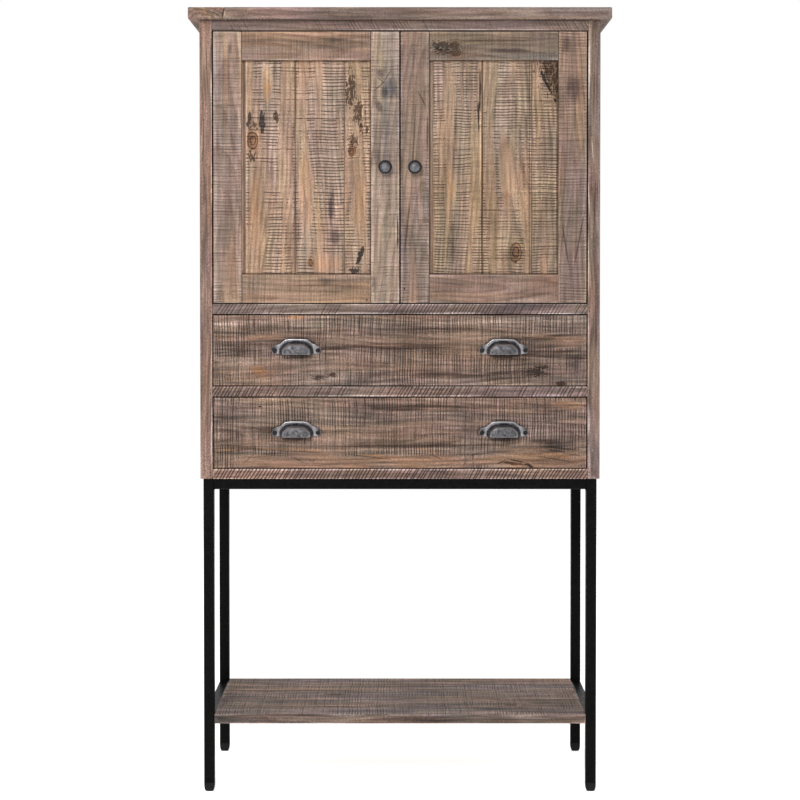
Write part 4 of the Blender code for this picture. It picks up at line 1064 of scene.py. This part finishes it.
def place_as_one(model, places, name, made, slot):
    """Copies of a model, joined into one piece of the cabinet."""
    copies = place_copies(model, dict(enumerate(places)), name)
    piece = join(list(copies.values()))
    piece.name = piece.data.name = name
    give(piece, made, slot, "cabinet")


def mottled(name, colour, shades, size_mm, roughness, **constants):
    """Metal or plastic whose tone and gloss drift from place to place, between two shades of a colour."""
    made, tree, shader = new_material(name, **constants)
    dark, light = (opaque([shade_of * value for value in colour]) for shade_of in shades)
    place = put(tree, "TexCoord").outputs["Object"]
    drift = put(tree, "TexNoise", place, 1000 / size_mm, 4.0)
    grit = put(tree, "TexNoise", place, 6000 / size_mm, 2.0)
    share = put(tree, "MapRange", drift, 0.3, 0.7)
    tone = put(tree, "Mix", share, dark, light, data_type="RGBA")
    rough = put(tree, "MapRange", drift, 0.0, 1.0, roughness - 0.12, roughness + 0.12)
    bump = put(tree, "Bump", feeds={"Height": grit, "Strength": 0.3, "Distance": 0.1 * MM})
    feed(tree, shader, {"Base Color": tone, "Roughness": rough, "Normal": bump})
    return made


class BUFFET_OT_stand(bpy.types.Operator):
    """Finish the steel stand, its feet, the door catch and the door pivots"""

    bl_idname = "buffet.stand"
    bl_label = "Steel stand"

    def execute(self, context):
        metal = context.scene.buffet_metal
        # Mild steel tube under black powder coat: even satin black with a fine orange peel, drawn
        # at about 1.3 mm where the real one is half that
        coat = mottled("powder coated steel", metal.coat, (0.6, 1.4), 8.0, 0.42, specular_ior_level=0.05)
        # Moulded polyethylene: matt black, a little greyer in small scuffed patches
        plastic = mottled(
            "moulded polyethylene", metal.plastic, (0.7, 1.5), 5.0, 0.6, specular_ior_level=0.15
        )
        # Turned steel, oil blackened: dark with a brown cast and a soft sheen
        pin = mottled("oil blackened steel", metal.screw, (0.7, 1.6), 3.0, 0.45, metallic=1.0)
        for node in NODES:
            if node.startswith(("leg_", "side_rail", "lower_rail", "front_rail", "rear_rail")):
                dress(node, coat)
            elif node.startswith(("foot_", "door_catch")):
                dress(node, plastic)
            elif node.startswith("pivot_pin"):
                dress(node, pin)
        return {"FINISHED"}


def make_pewter(metal):
    """Cast pewter: grey metal, blackened in its hollows and polished by hands on its edges. Its wear also
    holds painted highlights on the pulls and painted shade on the pulls and knobs.
    """
    made, tree, shader = new_material("cast pewter", metallic=0.9)
    place = put(tree, "TexCoord").outputs["Object"]
    wear = put(tree, "Attribute", attribute_name="wear").outputs["Fac"]
    cloud = put(tree, "TexNoise", place, 190.0, 4.0)
    pits = put(tree, "TexNoise", place, 900.0, 3.0)
    tone = put(tree, "MULTIPLY_ADD", cloud, 1.1, wear)
    share = chain(tree, pits, ("MULTIPLY_ADD", 0.35, tone), ("MapRange", 0.3, 1.55))
    colour = put(tree, "Mix", share, opaque(metal.patina_and_shade), opaque(metal.worn_and_highlight), data_type="RGBA")
    rough = put(tree, "MapRange", share, 0.0, 1.0, 0.62, 0.34)
    bump = put(tree, "Bump", feeds={"Height": pits, "Strength": 0.35, "Distance": 0.2 * MM})
    feed(tree, shader, {"Base Color": colour, "Roughness": rough, "Normal": bump})
    return made


def model_screw(radius):
    """Round head with a cross slot, its back at the origin and its top towards -Y."""
    head = turned(24, radius, [(1.0, 0.7), (0.9, 1.2), (0.68, 1.55), (0.3, 1.7)])
    for wide, tall in ((1.2, 0.26), (0.26, 1.2)):
        slot = block((0.0, -1.6, 0.0), (wide * radius / MM, 1.2, tall * radius / MM))
        finish_with(head, "BOOLEAN", object=slot, operation="DIFFERENCE", solver="EXACT")
        bpy.data.objects.remove(slot)
    shade(head, 35.0)
    return head


# Cup pull, in millimetres: half width, height and corners of its flange, half width and height of
# the ring that its rim stands on, how far forward rim, cove and crest reach, and its ears and screws
FLANGE_HALF = 36.5
FLANGE_HEIGHT = 30
FLANGE_CORNER = 18
RIM_HALF = 34.6
RIM_HEIGHT = 26.4
RIM_REACH = 3.0
COVE_REACH = 15.0
CREST_REACH = 19.2
EAR_MIDDLE = (40.6, -1.3, 8.0)
EAR_SIZE = (13.4, 2.6, 13.0)
EAR_ROUND = 6.4
SCREW_SIDE = 41
SCREW_FORWARD = 2.5
SCREW_HEIGHT = 8


def model_cup():
    """Domed cup with a raised rim and a cove round the dome, open below and behind.

    The middle of its mouth is at the origin, and its back on y = 0.
    """
    cup = block((0.0, -0.9, FLANGE_HEIGHT / 2), (2 * FLANGE_HALF, 1.8, FLANGE_HEIGHT))
    bpy.ops.object.mode_set(mode="EDIT")
    top = (FLANGE_HEIGHT - 1) * MM
    choose(cup, "EDGE", lambda ends: min(end.z for end in ends) > top and runs_back(ends))
    bpy.ops.mesh.bevel(offset=FLANGE_CORNER * MM, segments=6, profile=0.34, affect="EDGES")
    choose(cup, "FACE", in_front_of(-1.7 * MM))
    draw_out([
        (36.5, 30.0, 1.8), (36.1, 29.6, 2.9), (35.0, 26.8, 2.9), (34.4, 26.0, 2.1), (32.2, 24.4, 3.0),
        (30.0, 22.8, 5.6), (28.4, 21.6, 9.4), (27.6, 20.8, 13.0), (26.9, 20.1, 16.4), (25.6, 18.8, 18.8),
        (22.4, 15.8, 20.3), (14.5, 9.2, 21.6), (5.0, 3.0, 22.0),
    ])
    choose(cup, "FACE", lambda points: max(point.z for point in points) < 0.01 * MM)
    bpy.ops.mesh.delete(type="FACE")
    choose(cup, "FACE", lambda points: min(point.y for point in points) > -0.01 * MM)
    bpy.ops.mesh.delete(type="FACE")
    bpy.ops.object.mode_set(mode="OBJECT")
    finish_with(cup, "SOLIDIFY", thickness=1.7 * MM, offset=-1.0, use_even_offset=True)
    finish_with(cup, "SUBSURF", levels=2, render_levels=2)
    return cup


def model_ear(way):
    """Ear of a pull, to its left (-1) or right (1), with a sloping shoulder and a round end."""
    side, forward, height = EAR_MIDDLE
    ear = block((way * side, forward, height), EAR_SIZE)
    bpy.ops.object.mode_set(mode="EDIT")
    choose(ear, "EDGE", lambda ends: all(end.x * way < 35 * MM and end.z > 14 * MM for end in ends))
    bpy.ops.transform.translate(value=(-way * 5 * MM, 0.0, 7 * MM))
    choose(ear, "EDGE", lambda ends: min(end.x * way for end in ends) > 47 * MM and runs_back(ends))
    bpy.ops.mesh.bevel(offset=EAR_ROUND * MM, segments=8, affect="EDGES")
    choose(ear, "EDGE", in_front_of(-2.5 * MM))
    bpy.ops.mesh.bevel(offset=0.7 * MM, segments=3, affect="EDGES")
    bpy.ops.object.mode_set(mode="OBJECT")
    return ear


def wear_and_light_of_pull(point):
    """Fingers polish the rim and the crest of a pull, and hardly reach its cove. The rim and crest are also
    lightened as a painted highlight, and the bottom edge is darkened as a painted shadow under the pull.
    """
    side, forward, height = abs(point.x) / MM, -point.y / MM, point.z / MM
    if side > FLANGE_HALF:
        return -0.6
    # Painted shadow: the bottom edge is dark, for the shade that the pull casts below it
    if height < 0.9:
        return -0.5
    # Polished rim and crest, also lightened as a painted highlight
    if forward < RIM_REACH and math.hypot(side / RIM_HALF, (height - 1.5) / RIM_HEIGHT) > 0.92:
        return 0.5
    if forward < COVE_REACH:
        return -0.18
    return 0.8 if forward < CREST_REACH else -0.15


class BUFFET_OT_pulls(bpy.types.Operator):
    """Model the cast cup pulls and their screws"""

    bl_idname = "buffet.pulls"
    bl_label = "Cup pulls"

    def execute(self, context):
        metal = context.scene.buffet_metal
        pewter = make_pewter(metal)
        pull = join([model_cup(), model_ear(-1), model_ear(1)])
        shade(pull, 40.0)
        mark_wear_and_light(pull, wear_and_light_of_pull)
        places, heads = {}, {}
        for level in LEVELS:
            for side in SIDES:
                node = f"{level}_pull_{side}"
                low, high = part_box(node)
                places[node] = Vector(((low.x + high.x) / 2, high.y, low.z))
                for way, end in ((-1, "outer"), (1, "inner")):
                    screw = Vector((way * SCREW_SIDE, -SCREW_FORWARD, SCREW_HEIGHT)) * MM
                    heads[f"{node}_{end}"] = places[node] + screw
        for node, piece in place_copies(pull, places, "casting").items():
            give(piece, pewter, "pewter", f"{node.split('_')[0]}_drawer")
            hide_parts(node)
        # Blackened steel: nearly black, with small patches rubbed grey
        black = mottled("blackened steel screw", metal.screw, (0.5, 1.8), 2.0, 0.45, metallic=1.0)
        for name, piece in place_copies(model_screw(metal.screw_radius), heads, "screw").items():
            give(piece, black, "pin_steel", f"{name.split('_')[0]}_drawer")
        return {"FINISHED"}


# Radius outside of which a knob is dark: painted shade on its bead and sides, which turn away from the light
KNOB_BEAD = 10.2 * MM


class BUFFET_OT_knobs(bpy.types.Operator):
    """Model the turned knobs on the doors"""

    bl_idname = "buffet.knobs"
    bl_label = "Knobs"

    def execute(self, context):
        knob = turned(24, 8 * MM, [
            (8.0, 1.6), (7.2, 2.4), (5.6, 3.6), (5.0, 6.5), (5.2, 9.5), (7.6, 12.4), (11.6, 14.2),
            (13.2, 15.6), (13.2, 17.2), (12.4, 18.3), (10.9, 18.1), (9.7, 18.9), (8.2, 20.9), (5.0, 22.2),
            (1.4, 22.5),
        ])
        finish_with(knob, "SUBSURF", levels=2, render_levels=2)
        shade(knob, 60.0)
        # Painted shade: the knob is dark outside the bead's radius and a little dark inside it
        mark_wear_and_light(knob, lambda point: -1.0 if math.hypot(point.x, point.z) > KNOB_BEAD else -0.1)
        places = {}
        for side in SIDES:
            low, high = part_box(f"knob_{side}")
            places[f"knob_{side}"] = Vector(((low.x + high.x) / 2, high.y, (low.z + high.z) / 2))
        pewter = bpy.data.materials["cast pewter"]
        for node, piece in place_copies(knob, places, "turned").items():
            give(piece, pewter, "pewter", node.replace("knob_", "") + "_door")
            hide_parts(node)
        return {"FINISHED"}


def model_plate():
    """Strike plate with rounded corners, its back at the origin and its face towards -Y."""
    plate = block((0.0, -0.5, 0.0), (24.0, 1.0, 9.4))
    bpy.ops.object.mode_set(mode="EDIT")
    choose(plate, "EDGE", runs_back)
    bpy.ops.mesh.bevel(offset=2 * MM, segments=4, affect="EDGES")
    choose(plate, "EDGE", in_front_of(-0.9 * MM))
    bpy.ops.mesh.bevel(offset=0.25 * MM, segments=2, affect="EDGES")
    bpy.ops.object.mode_set(mode="OBJECT")
    shade(plate, 40.0)
    return plate


def model_bead():
    """Weld bead drawn towards -Y, with the ripples that each puddle of metal left."""
    profile = [(1.3, 0.6)]
    for ripple in range(7):
        start = 0.6 + 2.3 * ripple
        profile += [(1.75, start + 0.7), (1.8, start + 1.5), (1.35, start + 2.3)]
    bead = turned(12, 1.3 * MM, [*profile, (0.8, 17.4)])
    shade(bead, 50.0)
    return bead


def model_nail(radius):
    """Domed nail head, its back at the origin and its top towards -Y."""
    nail = turned(10, radius, [(1.0, 0.2), (0.75, 0.45), (0.3, 0.55)])
    shade(nail, 60.0)
    return nail


TO_BACK = Matrix.Rotation(math.pi, 4, "Z")
TO_RIGHT = Matrix.Rotation(math.pi / 2, 4, "Z")
DOWN = Matrix.Rotation(math.pi / 2, 4, "X")

# Radii of small heads, and places of fixings from the edges and middles of what they hold
SMALL_SCREW = 2.6 * MM
KNOB_SCREW = 4.0 * MM
BRAD = 1.1 * MM
STRIKE_SIDE = 15.8 * MM
STRIKE_DROP = 5.7 * MM
CATCH_SCREW_SIDE = 12 * MM
TAB_SCREW_SIDE = 12 * MM
TAB_SCREW_END = 45 * MM
RAIL_SCREWS = (-0.2, 0.2)
SIDE_RAIL_SCREWS = (-0.07, 0.09)
BRAD_SIDE = 3.4 * MM
BRAD_LIFTS = (-3.5 * MM, 2.5 * MM)
NAIL_SIDE = 4.5 * MM
NAIL_END = 45 * MM
NAIL_ROWS = 9
NAIL_STEP = 0.1
BEAD_LENGTH = 19 * MM


def put_at(x, y, z, turn=Matrix()):
    return Matrix.Translation((x, y, z)) @ turn


class BUFFET_OT_fixings(bpy.types.Operator):
    """Model the strike plates, the screws, the brads, the nails and the welds of the stand"""

    bl_idname = "buffet.fixings"
    bl_label = "Fixings"

    def execute(self, context):
        metal = context.scene.buffet_metal
        # Zinc plated steel: bright grey with cloudy dull patches
        zinc = mottled("zinc plated steel", metal.zinc, (0.6, 1.1), 6.0, 0.38, metallic=1.0)
        # Bare steel brads, rusted brown and dull
        rusted = mottled("rusted steel brad", metal.rust, (0.5, 1.4), 1.0, 0.8)
        black = bpy.data.materials["blackened steel screw"]
        coat = bpy.data.materials["powder coated steel"]

        # On the backs of the doors
        plates, plate_screws, knob_screws = {}, {}, {}
        for side, way in zip(SIDES, (-1, 1)):
            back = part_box(f"meeting_stile_{side}")[1]
            x, z = way * STRIKE_SIDE, back.z - STRIKE_DROP
            plates[f"{side}_strike"] = put_at(x, back.y, z, TO_BACK)
            plate_screws[f"{side}_strike"] = put_at(x, back.y - 0.6 * MM, z, TO_BACK)
            low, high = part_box(f"knob_{side}")
            x, z = (low.x + high.x) / 2, (low.z + high.z) / 2
            knob_screws[f"{side}_knob"] = put_at(x, back.y, z, TO_BACK)
        for model, places, stem in (
            (model_plate(), plates, "plate"),
            (model_screw(SMALL_SCREW), plate_screws, "screw"),
            (model_screw(KNOB_SCREW), knob_screws, "screw"),
        ):
            for name, piece in place_copies(model, places, stem).items():
                give(piece, zinc, "pin_steel", name.split("_")[0] + "_door")

        # Under the catch, the rails of the stand and the tabs that carry the lower shelf
        low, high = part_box("door_catch")
        y = (low.y + high.y) / 2 + 2 * MM
        heads = [put_at(way * CATCH_SCREW_SIDE, y, low.z, DOWN) for way in (-1, 1)]
        place_as_one(model_screw(SMALL_SCREW), heads, "catch_screws", zinc, "pin_steel")
        heads = []
        for rail in ("front_rail", "rear_rail"):
            low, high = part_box(rail)
            heads += [put_at(x, (low.y + high.y) / 2, low.z + 1.0 * MM, DOWN) for x in RAIL_SCREWS]
        for side in SIDES:
            low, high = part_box(f"side_rail_{side}")
            heads += [put_at((low.x + high.x) / 2, y, low.z, DOWN) for y in SIDE_RAIL_SCREWS]
            low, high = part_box(f"lower_rail_{side}")
            tab = low.x + TAB_SCREW_SIDE if side == "right" else high.x - TAB_SCREW_SIDE
            ends = (low.y + TAB_SCREW_END, high.y - TAB_SCREW_END)
            heads += [put_at(tab, y, low.z + 0.3 * MM, DOWN) for y in ends]
        place_as_one(model_screw(metal.screw_radius), heads, "stand_screws", black, "pin_steel")

        # In the front edges, where the boards between the sides are held
        heads = []
        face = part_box("side_panel_right")[0]
        for node in ("top_rail", "door_floor", "drawer_divider", "bottom_panel"):
            low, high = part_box(node)
            middle = (low.z + high.z) / 2
            heads += [
                put_at(way * (face.x + BRAD_SIDE), face.y + 0.2 * MM, middle + lift)
                for way in (-1, 1) for lift in BRAD_LIFTS
            ]
        place_as_one(model_nail(BRAD), heads, "edge_brads", rusted, "pin_steel")

        # In the edges of the back panel, and in the boards behind it
        low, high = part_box("back_panel")
        heads = []
        for row in range(NAIL_ROWS):
            height = low.z + NAIL_END + row * (high.z - low.z - 2 * NAIL_END) / (NAIL_ROWS - 1)
            heads += [put_at(way * (high.x - NAIL_SIDE), high.y, height, TO_BACK) for way in (-1, 1)]
        for node in ("bottom_panel", "door_floor", "inner_shelf"):
            height = sum(corner.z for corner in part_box(node)) / 2
            heads += [put_at(NAIL_STEP * step, high.y, height, TO_BACK) for step in range(-3, 4)]
        place_as_one(model_nail(metal.nail_radius), heads, "back_nails", zinc, "pin_steel")

        # Where the tubes of the stand meet
        low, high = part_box("leg_front_right")
        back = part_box("leg_rear_right")[0]
        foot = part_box("front_rail")[0].z
        levels = (foot, *(corner.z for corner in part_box("lower_rail_right")))
        beads = []
        for way in (-1, 1):
            x = way * low.x
            start = x if way == 1 else x - BEAD_LENGTH
            for y in (high.y, back.y):
                beads.append(put_at(x, y, foot + BEAD_LENGTH, DOWN))
                beads += [put_at(start + 1 * MM, y, z, TO_RIGHT) for z in levels]
            beads += [put_at(x, y, foot) for y in (high.y - 1 * MM, back.y + BEAD_LENGTH)]
        place_as_one(model_bead(), beads, "weld_beads", coat, "black_steel")
        return {"FINISHED"}


class BUFFET_OT_stage(bpy.types.Operator):
    """Make the floor, the soft lights and the camera"""

    bl_idname = "buffet.stage"
    bl_label = "Stage"

    def execute(self, context):
        settings = context.scene.buffet_stage
        scene = context.scene
        scene.view_settings.view_transform = "Standard"
        bpy.ops.object.select_all(action="DESELECT")
        bpy.ops.mesh.primitive_plane_add(size=40.0)
        floor = context.object
        floor.name = "floor"
        # Lit acrylic sheet: even white, so that the object seems to stand in bright air
        made, tree, shader = new_material(
            "lit acrylic floor", base_color=opaque(settings.floor), roughness=0.9, specular_ior_level=0.1,
            emission_color=WHITE, emission_strength=settings.glow,
        )
        floor.data.materials.append(made)

        world = bpy.data.worlds.new("studio air")
        world.use_nodes = True
        tree = world.node_tree
        seen = put(tree, "LightPath").outputs["Is Camera Ray"]
        strength = put(tree, "MapRange", seen, 0.0, 1.0, settings.air, 1.0)
        feed(tree, tree.nodes["Background"], {"Color": WHITE, "Strength": strength})
        scene.world = world

        # Soft square lights that look at the middle of the cabinet
        middle = Vector((0.0, 0.0, 0.8))
        for name, place, size, power in (
            ("key", (-0.8, -3.7, 2.5), 0.8, settings.key),
            ("fill", (2.8, -3.2, 1.9), 2.6, settings.fill),
            ("left", (-3.2, 0.7, 1.7), 2.0, settings.round),
            ("right", (3.2, 0.7, 1.7), 2.0, settings.round),
            ("rear", (0.0, 3.8, 1.9), 2.0, settings.round),
        ):
            bpy.ops.object.light_add(type="AREA", location=place)
            light = context.object
            light.name = name
            light.data.shape = "SQUARE"
            light.data.size = size
            light.data.energy = power
            light.rotation_euler = (middle - Vector(place)).to_track_quat("-Z", "Y").to_euler()

        bpy.ops.object.camera_add(
            location=(0.0, -settings.distance, settings.height),
            rotation=(math.pi / 2 - settings.tilt, 0.0, 0.0),
        )
        camera = context.object
        camera.name = "camera"
        camera.data.lens = settings.lens
        camera.data.shift_y = settings.lift
        scene.camera = camera
        return {"FINISHED"}


PIECES = (
    BUFFET_OT_carcass,
    BUFFET_OT_doors,
    BUFFET_OT_drawers,
    BUFFET_OT_shelves,
    BUFFET_OT_stand,
    BUFFET_OT_pulls,
    BUFFET_OT_knobs,
    BUFFET_OT_fixings,
    BUFFET_OT_stage,
)
SETTINGS = {"buffet_wood": BuffetWood, "buffet_metal": BuffetMetal, "buffet_stage": BuffetStage}


class BUFFET_PT_sidebar(bpy.types.Panel):
    """Lists the pieces and their settings"""

    bl_idname = "BUFFET_PT_sidebar"
    bl_label = "Buffet cabinet"
    bl_space_type = "VIEW_3D"
    bl_region_type = "UI"
    bl_category = "Buffet"

    def draw(self, context):
        for piece in PIECES:
            self.layout.operator(piece.bl_idname)
        for name, group in SETTINGS.items():
            box = self.layout.box()
            for setting in group.__annotations__:
                box.prop(getattr(context.scene, name), setting)


def register():
    for name, group in SETTINGS.items():
        bpy.utils.register_class(group)
        setattr(bpy.types.Scene, name, bpy.props.PointerProperty(type=group))
    for piece in (*PIECES, BUFFET_PT_sidebar):
        bpy.utils.register_class(piece)


def unregister():
    for piece in (BUFFET_PT_sidebar, *reversed(PIECES)):
        bpy.utils.unregister_class(piece)
    for name, group in SETTINGS.items():
        delattr(bpy.types.Scene, name)
        bpy.utils.unregister_class(group)


def main():
    register()
    make_knot_group()
    make_stain_and_shade_group()
    make_pine_group()
    bpy.ops.buffet.carcass()
    bpy.ops.buffet.doors()
    bpy.ops.buffet.drawers()
    bpy.ops.buffet.shelves()
    bpy.ops.buffet.stand()
    bpy.ops.buffet.pulls()
    bpy.ops.buffet.knobs()
    bpy.ops.buffet.fixings()
    bpy.ops.buffet.stage()


if __name__ == "__main__":
    main()
